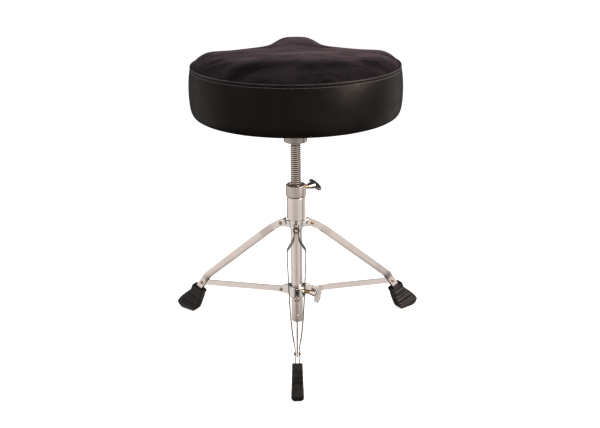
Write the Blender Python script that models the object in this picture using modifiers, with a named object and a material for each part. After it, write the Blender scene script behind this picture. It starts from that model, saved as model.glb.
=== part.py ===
"""Drum throne: a saddle seat on a threaded spindle, over a folding three-legged base.

Metres, +Z up. The floor is z = 0. The seat's rounded back faces -Y and its nose points to +Y.
The column stands a little behind the nose's middle, so that the origin is below the middle of
the whole object.
Each leg is drawn in its own leg frame: X runs outwards from the column, Y along the hinge pin.
"""

import math

import bmesh
import bpy
from mathutils import Matrix, Vector

# ---- driving dimensions ----------------------------------------------------------------------
GAP = 0.0003  # between pieces that touch

LEG_COUNT = 3
ARC_STEP = math.radians(15.0)

# Seat outline: a round back, two ears, hollow thigh lines and a nose
SEAT_RADIUS = 0.200
SEAT_CENTRE_Y = 0.035
BACK_STEP = math.radians(7.5)
EAR_RADIUS = 0.0406
EAR_ANGLE = math.radians(12.0)
THIGH_ANGLE = math.radians(81.2)  # direction that the thigh line faces
THIGH_END_X = 0.100  # where the thigh line turns into the hollow beside the nose
HOLLOW_RADIUS = 0.035
NOSE_SIDE_ANGLE = math.radians(20.0)
NOSE_CORNER_RADIUS = 0.044
NOSE_TIP_Y = 0.222

# Seat heights
SEAT_BOTTOM_Z = 0.4440
SEAM_Z = 0.5396
CROWN = 0.030
CROWN_RUN = 0.017  # how far from the seam the crown has risen by two thirds
EAR_FALL = 0.7  # share of the crown that is lost at the seat's full half width
COVER_THICKNESS = 0.0013
BOARD_BOTTOM_Z = SEAT_BOTTOM_Z + 0.0024
BOARD_THICKNESS = 0.012
BOARD_INSET = 0.0130
SEAM_INSET = 0.0074

# Seat bracket
PLATE_SIZE = 0.110
PLATE_THICKNESS = 0.003
PLATE_TOP_Z = SEAT_BOTTOM_Z + 0.0007
SOCKET_RADIUS = 0.022
SOCKET_BOTTOM_Z = 0.3990
SCREW_SPACING = 0.040
SCREW_RADIUS = 0.0028

# Column
SPINDLE_RADIUS = 0.0095
NECK_RADIUS = 0.0085
SPINDLE_BOTTOM_Z = 0.2005
NECK_Z = 0.3820
SPINDLE_TOP_Z = 0.4370
TUBE_RADIUS = 0.011
TUBE_BORE = 0.0099
TUBE_BOTTOM_Z = 0.0314
TUBE_TOP_Z = 0.2705
HOUSING_RADIUS = 0.0179
HOUSING_BOTTOM_Z = 0.2456
HOUSING_TOP_Z = 0.2907
COLLAR_RADIUS = 0.0193
COLLAR_TOP_Z = 0.3155
NUT_RADIUS = 0.0145

# Hubs, in the leg frame
UPPER_PIVOT = (0.033, 0.232)
LOWER_PIVOT = (0.034, 0.0922)
LUG_HALF = 0.0029
LUG_ROUND = 0.0063
FLANGE_INNER = 0.0017
FLANGE_OUTER = 0.0046
HUB_RADIUS = 0.017
HUB_TOP_Z = 0.1074
HUB_BOTTOM_Z = 0.0847
HUB_BORE = 0.0113

# Legs
STRIP_WIDTH = 0.0135
STRIP_THICKNESS = 0.0018
LEG_BENDS = ((0.0543, 0.220), (0.215, 0.086))
LEG_END = (0.247, 0.041)
LEG_OVERHANG = 0.0106  # strip beyond the upper pivot
FOOT_PIVOT = (0.2275, 0.0685)
# distance along the strip and how far the strip stands from the middle of the leg
SPREAD = (
    (-LEG_OVERHANG, 0.0041),
    (0.021, 0.0041),
    (0.0244, 0.0058),
    (0.046, 0.0174),
    (0.074, 0.0169),
    (0.147, 0.0137),
    (0.188, 0.0112),
    (0.226, 0.0073),
    (0.2337, 0.0058),
    (0.246, 0.0036),
    (0.2889, 0.0036),
)
STRUT_HALF_HEIGHT = 0.0059
STRUT_HALF_THICKNESS = 0.00135

# Rivets
RIVET_RADIUS = 0.0023
RIVET_HOLE = 0.0026
RIVET_HEAD = 0.0034
RIVET_HEAD_HEIGHT = 0.0014

# Rubber foot: outline in the leg frame
FOOT_HALF_WIDTH = 0.0115
FOOT_TOP_WIDTH_SHARE = 0.80  # the boot narrows upwards
FOOT_REACH = 0.2892
FOOT_OUTLINE = (
    (0.2234, 0.0484),
    (0.2285, 0.0400),
    (0.2336, 0.0254),
    (0.2417, 0.0098),
    (0.2480, 0.0),
    (0.2665, 0.0),
    (0.2765, 0.0032),
    (0.2855, 0.0080),
    (FOOT_REACH, 0.0118),
    (FOOT_REACH - 0.0002, 0.0150),
    (0.2781, 0.0292),
    (0.2530, 0.0510),
    (0.2490, 0.0612),
)
POCKET_HALF_WIDTH = 0.0049
POCKET_HALF_HEIGHT = 0.0072

# Wing bolts
STUD_RADIUS = 0.0040
STUD_HOLE = 0.0043
WING_NECK_RADIUS = 0.0056
WING_HALF_LENGTH = 0.0170
WING_THICKNESS = 0.0056
COLLAR_AZIMUTH = math.radians(125.0)
COLLAR_STUD_Z = 0.3055
HUB_AZIMUTH = math.radians(60.0)
HUB_STUD_Z = 0.0970
SEAT_CLAMP_Z = 0.4145

# Grub screw that holds the housing on the tube
GRUB_RADIUS = 0.0024
GRUB_AZIMUTH = math.radians(77.0)
GRUB_Z = 0.2530

STEPS_LARGE = 32
STEPS_MEDIUM = 20
STEPS_SMALL = 12

# ---- colours: base colour, roughness, metallic ------------------------------------------------
FINISHES = {
    "chrome": ((0.78, 0.74, 0.71), 0.14, 1.0),
    "cast_chrome": ((0.60, 0.58, 0.56), 0.22, 1.0),
    "brushed_collar": ((0.50, 0.46, 0.44), 0.35, 1.0),
    "zinc_steel": ((0.52, 0.50, 0.47), 0.38, 1.0),
    "thread_steel": ((0.42, 0.40, 0.38), 0.30, 1.0),
    "rivet_brass": ((0.45, 0.30, 0.18), 0.32, 1.0),
    "stud_brass": ((0.72, 0.52, 0.30), 0.28, 1.0),
    "rubber": ((0.012, 0.011, 0.011), 0.65, 0.0),
    "plywood": ((0.52, 0.38, 0.23), 0.75, 0.0),
    "foam": ((0.74, 0.70, 0.60), 0.95, 0.0),
    "velour": ((0.060, 0.048, 0.058), 0.95, 0.0),
    "vinyl": ((0.010, 0.009, 0.009), 0.42, 0.0),
    "piping": ((0.055, 0.052, 0.053), 0.40, 0.0),
    "dust_cloth": ((0.016, 0.016, 0.016), 0.95, 0.0),
}


# ---- scene ------------------------------------------------------------------------------------
def clear_scene():
    for obj in list(bpy.data.objects):
        bpy.data.objects.remove(obj, do_unlink=True)


def new_collection(name):
    made = bpy.data.collections.new(name)
    bpy.context.scene.collection.children.link(made)
    return made


def make_material(name):
    colour, roughness, metallic = FINISHES[name]
    made = bpy.data.materials.new(name)
    made.use_nodes = True
    made.diffuse_color = (*colour, 1.0)
    shader = made.node_tree.nodes["Principled BSDF"]
    shader.inputs["Base Color"].default_value = (*colour, 1.0)
    shader.inputs["Roughness"].default_value = roughness
    shader.inputs["Metallic"].default_value = metallic
    return made


def empty(name, parent, location=(0.0, 0.0, 0.0), turn=0.0):
    made = bpy.data.objects.new(name, None)
    made.empty_display_size = 0.02
    PARTS.objects.link(made)
    made.parent = parent
    made.location = location
    made.rotation_euler = (0.0, 0.0, turn)
    return made


def add_mesh(name, mesh, finish, parent):
    """A named piece under an empty. Its points are in the frame that the empty's own parent gives."""
    mesh.name = name
    made = bpy.data.objects.new(name, mesh)
    mesh.materials.clear()
    mesh.materials.append(MATERIALS[finish])
    PARTS.objects.link(made)
    made.parent = parent
    made.location = -parent.location if parent.name.endswith("_axis") else (0.0, 0.0, 0.0)
    mesh.shade_smooth()
    mesh.set_sharp_from_angle(angle=math.radians(35.0))
    return made


def add_cutter(name, mesh, parent):
    made = bpy.data.objects.new(name, mesh)
    CUTTERS.objects.link(made)
    made.parent = parent
    made.location = -parent.location if parent.name.endswith("_axis") else (0.0, 0.0, 0.0)
    made.hide_render = True
    made.display_type = "WIRE"
    return made


def boolean(target, cutter, operation="DIFFERENCE"):
    modifier = target.modifiers.new(cutter.name, "BOOLEAN")
    modifier.operation = operation
    modifier.solver = "EXACT"
    modifier.object = cutter


# ---- mesh makers ------------------------------------------------------------------------------
def frame_along(direction, start):
    """A matrix that stands +Z along direction, at start."""
    turn = Vector((0.0, 0.0, 1.0)).rotation_difference(Vector(direction)).to_matrix().to_4x4()
    return Matrix.Translation(Vector(start)) @ turn


def turned_mesh(profile, steps, matrix=None):
    """A body turned about Z from (radius, height) points, which run down its outer side."""
    on_axis = profile[0][0] == 0.0
    mesh = bpy.data.meshes.new("turned")
    points = [(radius, 0.0, height) for radius, height in profile]
    edges = [(i, i + 1) for i in range(len(points) - 1)]
    if not on_axis:
        edges.append((len(points) - 1, 0))
    mesh.from_pydata(points, edges, [])
    raw = bpy.data.objects.new("turned", mesh)
    CUTTERS.objects.link(raw)
    screw = raw.modifiers.new("turn", "SCREW")
    screw.steps = steps
    screw.render_steps = steps
    screw.use_merge_vertices = True
    screw.merge_threshold = 0.00001
    bpy.context.view_layer.update()
    made = bpy.data.meshes.new_from_object(raw.evaluated_get(bpy.context.evaluated_depsgraph_get()))
    bpy.data.objects.remove(raw, do_unlink=True)
    if matrix is not None:
        made.transform(matrix)
    return made


def rod_mesh(radius, start, end, steps=STEPS_SMALL, chamfer=0.0):
    """A cylinder from start to end, with its end edges taken off by the chamfer."""
    start, end = Vector(start), Vector(end)
    length = (end - start).length
    profile = [
        (0.0, length),
        (radius - chamfer, length),
        (radius, length - chamfer),
        (radius, chamfer),
        (radius - chamfer, 0.0),
        (0.0, 0.0),
    ]
    if chamfer == 0.0:
        profile = [profile[0], (radius, length), (radius, 0.0), profile[-1]]
    return turned_mesh(profile, steps, frame_along(end - start, start))


def plate_mesh(outline, half_thickness, matrix=None):
    """A flat plate from an outline in X and Y, half_thickness to each side of z = 0."""
    curve = bpy.data.curves.new("outline", "CURVE")
    curve.dimensions = "2D"
    curve.fill_mode = "BOTH"
    curve.extrude = half_thickness
    spline = curve.splines.new("POLY")
    spline.points.add(len(outline) - 1)
    for point, (x, y) in zip(spline.points, outline):
        point.co = (x, y, 0.0, 1.0)
    spline.use_cyclic_u = True
    raw = bpy.data.objects.new("outline", curve)
    CUTTERS.objects.link(raw)
    bpy.context.view_layer.update()
    made = bpy.data.meshes.new_from_object(raw.evaluated_get(bpy.context.evaluated_depsgraph_get()))
    bpy.data.objects.remove(raw, do_unlink=True)
    work = bmesh.new()
    work.from_mesh(made)
    bmesh.ops.remove_doubles(work, verts=work.verts, dist=0.000001)
    bmesh.ops.recalc_face_normals(work, faces=work.faces)
    work.to_mesh(made)
    work.free()
    if matrix is not None:
        made.transform(matrix)
    return made


# An outline drawn in X and Y is stood up so that its Y becomes height.
STAND_UP = Matrix.Rotation(math.radians(90.0), 4, "X")


def box_mesh(low, high, matrix=None):
    mesh = bpy.data.meshes.new("box")
    work = bmesh.new()
    bmesh.ops.create_cube(work, size=1.0)
    size = Vector(high) - Vector(low)
    bmesh.ops.scale(work, vec=size, verts=work.verts)
    bmesh.ops.translate(work, vec=(Vector(low) + Vector(high)) / 2.0, verts=work.verts)
    work.to_mesh(mesh)
    work.free()
    if matrix is not None:
        mesh.transform(matrix)
    return mesh


def add_quad(work, corners):
    """One face, or two triangles across the first corner where the four aren't in one plane."""
    a, b, c, d = corners
    normal = (b.co - a.co).cross(c.co - a.co).normalized()
    if abs(normal.dot(d.co - a.co)) < 0.00001:
        work.faces.new((a, b, c, d))
    else:
        work.faces.new((a, b, c))
        work.faces.new((a, c, d))


def loft_mesh(rings, bottom="cap", top="cap"):
    """A skin over rings of equal length. Each end gets a cap or a pole, or is joined to the other."""
    mesh = bpy.data.meshes.new("loft")
    work = bmesh.new()
    made = [[work.verts.new(point) for point in ring] for ring in rings]
    count = len(made[0])
    pairs = list(zip(made[:-1], made[1:]))
    if bottom == "join":
        pairs.append((made[-1], made[0]))
    for low, high in pairs:
        for i in range(count):
            j = (i + 1) % count
            add_quad(work, (low[i], low[j], high[j], high[i]))
    for ring, kind in ((made[0], bottom), (made[-1], top)):
        if kind == "cap":
            work.faces.new(ring)
        elif kind == "pole":
            middle = sum((v.co for v in ring), Vector()) / count
            pole = work.verts.new((0.0, SEAT_CENTRE_Y, middle.z))
            for i in range(count):
                work.faces.new((ring[i], ring[(i + 1) % count], pole))
    bmesh.ops.recalc_face_normals(work, faces=work.faces)
    work.to_mesh(mesh)
    work.free()
    return mesh


# ---- seat outline -----------------------------------------------------------------------------
def unit(angle):
    return Vector((math.cos(angle), math.sin(angle)))


def arc(centre, radius, start, end, step=ARC_STEP):
    steps = max(2, round(abs(end - start) / step))
    return [centre + radius * unit(start + (end - start) * i / steps) for i in range(steps + 1)]


def seat_outline(inset):
    """The seat's plan, moved inwards by inset: round back, ear, hollow and nose, then its mirror."""
    back_centre = Vector((0.0, SEAT_CENTRE_Y))
    ear_centre = back_centre + (SEAT_RADIUS - EAR_RADIUS) * unit(EAR_ANGLE)
    ear_end = ear_centre + EAR_RADIUS * unit(THIGH_ANGLE)
    thigh_rise = (ear_end.x - THIGH_END_X) / math.tan(THIGH_ANGLE)
    thigh_end = Vector((THIGH_END_X, ear_end.y + thigh_rise))
    hollow_centre = thigh_end + HOLLOW_RADIUS * unit(THIGH_ANGLE)
    side_point = hollow_centre - HOLLOW_RADIUS * unit(NOSE_SIDE_ANGLE)
    nose_y = NOSE_TIP_Y - NOSE_CORNER_RADIUS
    side_fall = (nose_y - side_point.y) * math.sin(NOSE_SIDE_ANGLE) + NOSE_CORNER_RADIUS
    nose_centre = Vector((side_point.x - side_fall / math.cos(NOSE_SIDE_ANGLE), nose_y))
    half = arc(back_centre, SEAT_RADIUS - inset, -math.pi / 2, EAR_ANGLE, BACK_STEP)
    half += arc(ear_centre, EAR_RADIUS - inset, EAR_ANGLE, THIGH_ANGLE)[1:]
    turn_in, turn_out = THIGH_ANGLE + math.pi, NOSE_SIDE_ANGLE + math.pi
    half += arc(hollow_centre, HOLLOW_RADIUS + inset, turn_in, turn_out)
    half += arc(nose_centre, NOSE_CORNER_RADIUS - inset, NOSE_SIDE_ANGLE, math.pi / 2)
    return half + [Vector((-p.x, p.y)) for p in reversed(half[1:])]


def ring_at(outline, height):
    return [(p.x, p.y, height) for p in outline]


def edge_distance(point, outline):
    """How far a point is from the nearest side of the outline."""
    nearest = SEAT_RADIUS
    for a, b in zip(outline, outline[1:] + outline[:1]):
        side = b - a
        along = max(0.0, min(1.0, (point - a).dot(side) / side.length_squared))
        nearest = min(nearest, (a + along * side - point).length)
    return nearest


def crown_rings(lift, scales):
    """Rings over the crowned top, from the seam inwards, each point lifted by its distance from it."""
    seam = seat_outline(SEAM_INSET)
    centre = Vector((0.0, SEAT_CENTRE_Y))
    rings = []
    for scale in scales:
        ring = []
        for point in seam:
            place = centre + (point - centre) * scale
            height = CROWN * (1.0 - EAR_FALL * (place.x / SEAT_RADIUS) ** 2)
            rise = height * (1.0 - math.exp(-edge_distance(place, seam) / CROWN_RUN))
            ring.append((place.x, place.y, SEAM_Z + rise + lift))
        rings.append(ring)
    return rings


# ---- seat pieces ------------------------------------------------------------------------------
CROWN_SCALES = (0.96, 0.90, 0.81, 0.64, 0.36)


def add_top_cover(parent):
    thickness = 0.0018
    rim = SEAM_Z - 0.0012
    outer = [ring_at(seat_outline(SEAM_INSET), rim)] + crown_rings(0.0, (1.0, *CROWN_SCALES))
    inner = [ring_at(seat_outline(SEAM_INSET + 0.0014), rim)]
    inner += crown_rings(-thickness, CROWN_SCALES)
    rings = list(reversed(outer)) + inner
    add_mesh("seat_top_cover", loft_mesh(rings, "pole", "pole"), "velour", parent)


def add_foam(parent):
    walls = (
        (0.0050, SEAT_BOTTOM_Z + 0.0165),
        (0.0028, SEAT_BOTTOM_Z + 0.0253),
        (0.0018, SEAM_Z - 0.0446),
        (0.0031, SEAM_Z - 0.0186),
        (0.0070, SEAM_Z - 0.0040),
        (0.0102, SEAM_Z - 0.0034),
    )
    rings = [ring_at(seat_outline(inset), height) for inset, height in walls]
    rings += crown_rings(-0.0026, CROWN_SCALES)
    add_mesh("seat_foam", loft_mesh(rings, "cap", "pole"), "foam", parent)


def add_side_cover(parent):
    """The vinyl band round the side, tucked under at its lower edge."""
    low, high = SEAT_BOTTOM_Z, SEAM_Z
    wall = (
        (0.0050, high - 0.0024),
        (0.0017, high - 0.0176),
        (0.0, high - 0.0436),
        (0.0006, low + 0.0270),
        (0.0024, low + 0.0145),
        (0.0062, low + 0.0060),
        (0.0108, low + 0.0015),
        (0.0150, low),
    )
    inner = (
        (0.0150, low + COVER_THICKNESS),
        (0.0112, low + 0.0028),
        (0.0071, low + 0.0070),
        (0.0037, low + 0.0150),
        (0.0019, low + 0.0272),
        (COVER_THICKNESS, high - 0.0436),
        (0.0030, high - 0.0178),
        (0.0063, high - 0.0026),
    )
    rings = [ring_at(seat_outline(inset), height) for inset, height in wall + inner]
    add_mesh("seat_side_cover", loft_mesh(rings, "join", "join"), "vinyl", parent)


def add_piping(parent):
    """A welt of round cord that follows the seam."""
    radius = 0.0018
    sides = 6
    rings = []
    for i in range(sides):
        angle = 2.0 * math.pi * i / sides
        outline = seat_outline(SEAM_INSET - 0.0023 - radius * math.cos(angle))
        rings.append(ring_at(outline, SEAM_Z + radius * math.sin(angle)))
    add_mesh("seat_piping", loft_mesh(rings, "join", "join"), "piping", parent)


def screw_places():
    signs = ((1, 1), (-1, 1), (-1, -1), (1, -1))
    return [Vector((x * SCREW_SPACING, y * SCREW_SPACING, 0.0)) for x, y in signs]


def add_board(parent):
    top = BOARD_BOTTOM_Z + BOARD_THICKNESS
    outline = seat_outline(BOARD_INSET)
    rings = [ring_at(outline, height) for height in (BOARD_BOTTOM_Z, top)]
    board = add_mesh("seat_base_board", loft_mesh(rings), "plywood", parent)
    for number, place in enumerate(screw_places(), 1):
        low = place + Vector((0.0, 0.0, BOARD_BOTTOM_Z - 0.002))
        high = place + Vector((0.0, 0.0, top + 0.002))
        hole = add_cutter(f"board_hole_{number}", rod_mesh(0.0047, low, high), parent)
        boolean(board, hole)


def add_under_cover(parent):
    outline = seat_outline(0.0154)
    low = SEAT_BOTTOM_Z + 0.0011
    rings = [ring_at(outline, height) for height in (low, low + 0.0009)]
    cover = add_mesh("seat_under_cover", loft_mesh(rings), "dust_cloth", parent)
    for number, place in enumerate(screw_places(), 1):
        start = place + Vector((0.0, 0.0, low - 0.002))
        end = place + Vector((0.0, 0.0, low + 0.003))
        hole = add_cutter(f"cloth_hole_{number}", rod_mesh(0.0047, start, end), parent)
        boolean(cover, hole)


def rounded_square(size, corner):
    half = size / 2.0 - corner
    outline = []
    for quarter in range(4):
        middle = math.radians(45.0 + 90.0 * quarter)
        centre = Vector((math.cos(middle), math.sin(middle))) * half * math.sqrt(2.0)
        start = math.radians(90.0 * quarter)
        outline += arc(centre, corner, start, start + math.pi / 2)
    return outline


def add_bracket(parent):
    """The pressed plate under the seat with its socket, clamp boss and spindle bore."""
    plate_low = PLATE_TOP_Z - PLATE_THICKNESS
    lift = Matrix.Translation((0.0, 0.0, (PLATE_TOP_Z + plate_low) / 2.0))
    plate = plate_mesh(rounded_square(PLATE_SIZE, 0.014), PLATE_THICKNESS / 2.0, lift)
    bracket = add_mesh("seat_bracket", plate, "zinc_steel", parent)
    socket_profile = [
        (0.0, plate_low + 0.0015),
        (0.031, plate_low + 0.0015),
        (0.031, plate_low - 0.0015),
        (0.025, plate_low - 0.0055),
        (SOCKET_RADIUS, plate_low - 0.012),
        (SOCKET_RADIUS, SOCKET_BOTTOM_Z + 0.0012),
        (SOCKET_RADIUS - 0.0012, SOCKET_BOTTOM_Z),
        (0.0, SOCKET_BOTTOM_Z),
    ]
    socket = add_cutter("bracket_socket", turned_mesh(socket_profile, STEPS_LARGE), parent)
    boolean(bracket, socket, "UNION")
    boss_z = SEAT_CLAMP_Z
    boss = rod_mesh(0.0085, (0.0, 0.012, boss_z), (0.0, 0.0275, boss_z), STEPS_MEDIUM)
    boolean(bracket, add_cutter("bracket_boss", boss, parent), "UNION")
    bore = rod_mesh(NECK_RADIUS + GAP, (0, 0, SOCKET_BOTTOM_Z - 0.01), (0, 0, SPINDLE_TOP_Z + GAP),
                    STEPS_MEDIUM)
    boolean(bracket, add_cutter("bracket_bore", bore, parent))
    stud_hole = rod_mesh(STUD_HOLE, (0.0, 0.004, boss_z), (0.0, 0.040, boss_z))
    boolean(bracket, add_cutter("bracket_stud_hole", stud_hole, parent))
    for number, place in enumerate(screw_places(), 1):
        low = place + Vector((0.0, 0.0, plate_low - 0.002))
        high = place + Vector((0.0, 0.0, PLATE_TOP_Z + 0.002))
        hole = add_cutter(f"plate_hole_{number}", rod_mesh(0.0032, low, high), parent)
        boolean(bracket, hole)


def add_seat_fasteners(parent):
    plate_low = PLATE_TOP_Z - PLATE_THICKNESS
    board_top = BOARD_BOTTOM_Z + BOARD_THICKNESS
    head = plate_low - GAP
    for number, place in enumerate(screw_places(), 1):
        move = Matrix.Translation(place)
        screw_profile = [
            (0.0, board_top),
            (SCREW_RADIUS, board_top),
            (SCREW_RADIUS, head),
            (0.0058, head),
            (0.0058, head - 0.0018),
            (0.0042, head - 0.0034),
            (0.0, head - 0.0034),
        ]
        screw = turned_mesh(screw_profile, STEPS_SMALL, move)
        add_mesh(f"bracket_screw_{number}", screw, "zinc_steel", parent)
        nut_profile = [
            (0.0031, board_top + 0.0015),
            (0.0090, board_top + 0.0015),
            (0.0090, board_top + GAP),
            (0.0044, board_top + GAP),
            (0.0044, BOARD_BOTTOM_Z + 0.0006),
            (0.0031, BOARD_BOTTOM_Z + 0.0006),
        ]
        nut = turned_mesh(nut_profile, STEPS_SMALL, move)
        add_mesh(f"tee_nut_{number}", nut, "zinc_steel", parent)


# ---- column pieces ----------------------------------------------------------------------------
def add_spindle(parent):
    profile = [
        (0.0, SPINDLE_TOP_Z),
        (NECK_RADIUS - 0.001, SPINDLE_TOP_Z),
        (NECK_RADIUS, SPINDLE_TOP_Z - 0.001),
        (NECK_RADIUS, NECK_Z + 0.001),
        (SPINDLE_RADIUS, NECK_Z),
        (SPINDLE_RADIUS, SPINDLE_BOTTOM_Z + 0.0015),
        (SPINDLE_RADIUS - 0.0015, SPINDLE_BOTTOM_Z),
        (0.0, SPINDLE_BOTTOM_Z),
    ]
    add_mesh("spindle", turned_mesh(profile, STEPS_MEDIUM), "thread_steel", parent)


def add_column(parent):
    tube = [
        (TUBE_BORE, TUBE_TOP_Z),
        (TUBE_RADIUS, TUBE_TOP_Z),
        (TUBE_RADIUS, TUBE_BOTTOM_Z),
        (TUBE_BORE, TUBE_BOTTOM_Z),
    ]
    add_mesh("column_tube", turned_mesh(tube, STEPS_LARGE), "chrome", parent)
    step_z = TUBE_TOP_Z + GAP
    housing_profile = [
        (NUT_RADIUS + GAP, HOUSING_TOP_Z),
        (HOUSING_RADIUS - 0.0008, HOUSING_TOP_Z),
        (HOUSING_RADIUS, HOUSING_TOP_Z - 0.0008),
        (HOUSING_RADIUS, HOUSING_BOTTOM_Z + 0.001),
        (HOUSING_RADIUS - 0.001, HOUSING_BOTTOM_Z),
        (TUBE_RADIUS + GAP, HOUSING_BOTTOM_Z),
        (TUBE_RADIUS + GAP, step_z),
        (NUT_RADIUS + GAP, step_z),
    ]
    housing = turned_mesh(housing_profile, STEPS_LARGE)
    housing = add_mesh("column_housing", housing, "chrome", parent)
    direction = Vector((*azimuth(GRUB_AZIMUTH), 0.0))
    level = Vector((0.0, 0.0, GRUB_Z))
    hole = rod_mesh(GRUB_RADIUS + GAP, direction * 0.009 + level, direction * 0.022 + level)
    boolean(housing, add_cutter("grub_hole", hole, parent))
    grub = rod_mesh(GRUB_RADIUS, direction * 0.0114 + level, direction * 0.0172 + level,
                    chamfer=0.0004)
    add_mesh("housing_grub_screw", grub, "zinc_steel", parent)
    bore = SPINDLE_RADIUS + GAP
    nut = [
        (bore, HOUSING_TOP_Z - GAP),
        (NUT_RADIUS, HOUSING_TOP_Z - GAP),
        (NUT_RADIUS, step_z + GAP),
        (bore, step_z + GAP),
    ]
    add_mesh("height_nut", turned_mesh(nut, STEPS_MEDIUM), "stud_brass", parent)


def add_collar(parent):
    bore = SPINDLE_RADIUS + GAP
    bottom = HOUSING_TOP_Z + GAP
    recess = 0.0120
    profile = [
        (recess, COLLAR_TOP_Z),
        (COLLAR_RADIUS - 0.0018, COLLAR_TOP_Z),
        (COLLAR_RADIUS, COLLAR_TOP_Z - 0.0015),
        (COLLAR_RADIUS, bottom + 0.0018),
        (COLLAR_RADIUS - 0.0014, bottom),
        (bore, bottom),
        (bore, COLLAR_TOP_Z - 0.0055),
        (recess, COLLAR_TOP_Z - 0.0055),
    ]
    collar = add_mesh("lock_collar", turned_mesh(profile, STEPS_LARGE), "brushed_collar", parent)
    direction = Vector((*azimuth(COLLAR_AZIMUTH), 0.0))
    level = Vector((0.0, 0.0, COLLAR_STUD_Z))
    hole = rod_mesh(STUD_HOLE, direction * 0.006 + level, direction * 0.025 + level)
    boolean(collar, add_cutter("collar_stud_hole", hole, parent))


def azimuth(angle):
    """A level direction: 0 points to -Y, and it turns towards +X."""
    return math.sin(angle), -math.cos(angle)


def leg_turn(number):
    """The turn about Z that takes the leg frame's X to the leg's own direction."""
    return math.radians(120.0 * (number - 1) - 90.0)


def pill_outline(start_x, pivot, radius):
    """A tongue from start_x out to a round end about the pivot, in the leg frame."""
    centre = Vector(pivot)
    outline = [Vector((start_x, centre.y - radius))]
    outline += arc(centre, radius, -math.pi / 2, math.pi / 2)
    outline.append(Vector((start_x, centre.y + radius)))
    return outline


def add_upper_hub(parent):
    """The tapered sleeve fixed under the housing, with a lug for each leg."""
    top = HOUSING_BOTTOM_Z - GAP
    bore = TUBE_RADIUS + GAP
    sleeve = [
        (bore, top),
        (0.0136, top),
        (0.0134, 0.2380),
        (0.0123, 0.2250),
        (bore, 0.2250),
    ]
    hub = add_mesh("upper_hub", turned_mesh(sleeve, STEPS_LARGE), "cast_chrome", parent)
    for number in range(1, LEG_COUNT + 1):
        place = Matrix.Rotation(leg_turn(number), 4, "Z") @ STAND_UP
        lug = plate_mesh(pill_outline(0.01155, UPPER_PIVOT, LUG_ROUND), LUG_HALF, place)
        boolean(hub, add_cutter(f"upper_lug_{number}", lug, parent), "UNION")
    for number in range(1, LEG_COUNT + 1):
        hole = pin_hole(UPPER_PIVOT, LUG_HALF + 0.002)
        hole.transform(Matrix.Rotation(leg_turn(number), 4, "Z"))
        boolean(hub, add_cutter(f"upper_lug_hole_{number}", hole, parent))


def pin_hole(pivot, half_length):
    x, z = pivot
    return rod_mesh(RIVET_HOLE, (x, -half_length, z), (x, half_length, z))


def add_lower_hub(parent):
    """The sliding ring, with a fork for each strut and a boss for its wing bolt."""
    ring = [
        (HUB_BORE, HUB_TOP_Z),
        (HUB_RADIUS - 0.0012, HUB_TOP_Z),
        (HUB_RADIUS, HUB_TOP_Z - 0.0012),
        (HUB_RADIUS, HUB_BOTTOM_Z + 0.0012),
        (HUB_RADIUS - 0.0012, HUB_BOTTOM_Z),
        (HUB_BORE, HUB_BOTTOM_Z),
    ]
    root_x = 0.0131
    hub = add_mesh("lower_hub", turned_mesh(ring, STEPS_LARGE), "cast_chrome", parent)
    pivot = Vector(LOWER_PIVOT)
    round_end = 0.0068
    low_z, high_z = HUB_BOTTOM_Z + 0.0007, HUB_TOP_Z - 0.0017
    fork = [Vector((root_x, low_z)), Vector((0.019, low_z))]
    fork += arc(pivot, round_end, math.radians(-50.0), math.radians(80.0))
    fork += [Vector((0.020, high_z)), Vector((root_x, high_z))]
    for number in range(1, LEG_COUNT + 1):
        place = Matrix.Rotation(leg_turn(number), 4, "Z") @ STAND_UP
        tongue = plate_mesh(fork, FLANGE_OUTER, place)
        boolean(hub, add_cutter(f"fork_{number}", tongue, parent), "UNION")
    direction = Vector((*azimuth(HUB_AZIMUTH), 0.0))
    level = Vector((0.0, 0.0, HUB_STUD_Z))
    boss = rod_mesh(0.0075, direction * root_x + level, direction * 0.0195 + level, STEPS_MEDIUM)
    boolean(hub, add_cutter("hub_boss", boss, parent), "UNION")
    stud_hole = rod_mesh(STUD_HOLE, direction * 0.005 + level, direction * 0.026 + level)
    boolean(hub, add_cutter("hub_stud_hole", stud_hole, parent))
    for number in range(1, LEG_COUNT + 1):
        turn = Matrix.Rotation(leg_turn(number), 4, "Z")
        slot = box_mesh((0.0195, -FLANGE_INNER, 0.070), (0.045, FLANGE_INNER, 0.125), turn)
        boolean(hub, add_cutter(f"fork_slot_{number}", slot, parent))
        hole = pin_hole(LOWER_PIVOT, FLANGE_OUTER + 0.002)
        hole.transform(turn)
        boolean(hub, add_cutter(f"fork_hole_{number}", hole, parent))


# ---- wing bolts -------------------------------------------------------------------------------
def wing_outline():
    """One cast wing: X runs outwards along the stud, Y along the arms."""
    half = [
        Vector((0.0405, 0.0050)),
        Vector((0.0425, 0.0082)),
        Vector((0.0445, WING_HALF_LENGTH)),
        Vector((0.0520, WING_HALF_LENGTH)),
        Vector((0.0545, 0.0060)),
    ]
    mirrored = [Vector((p.x, -p.y)) for p in reversed(half)]
    return list(reversed(half)) + list(reversed(mirrored))


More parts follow.
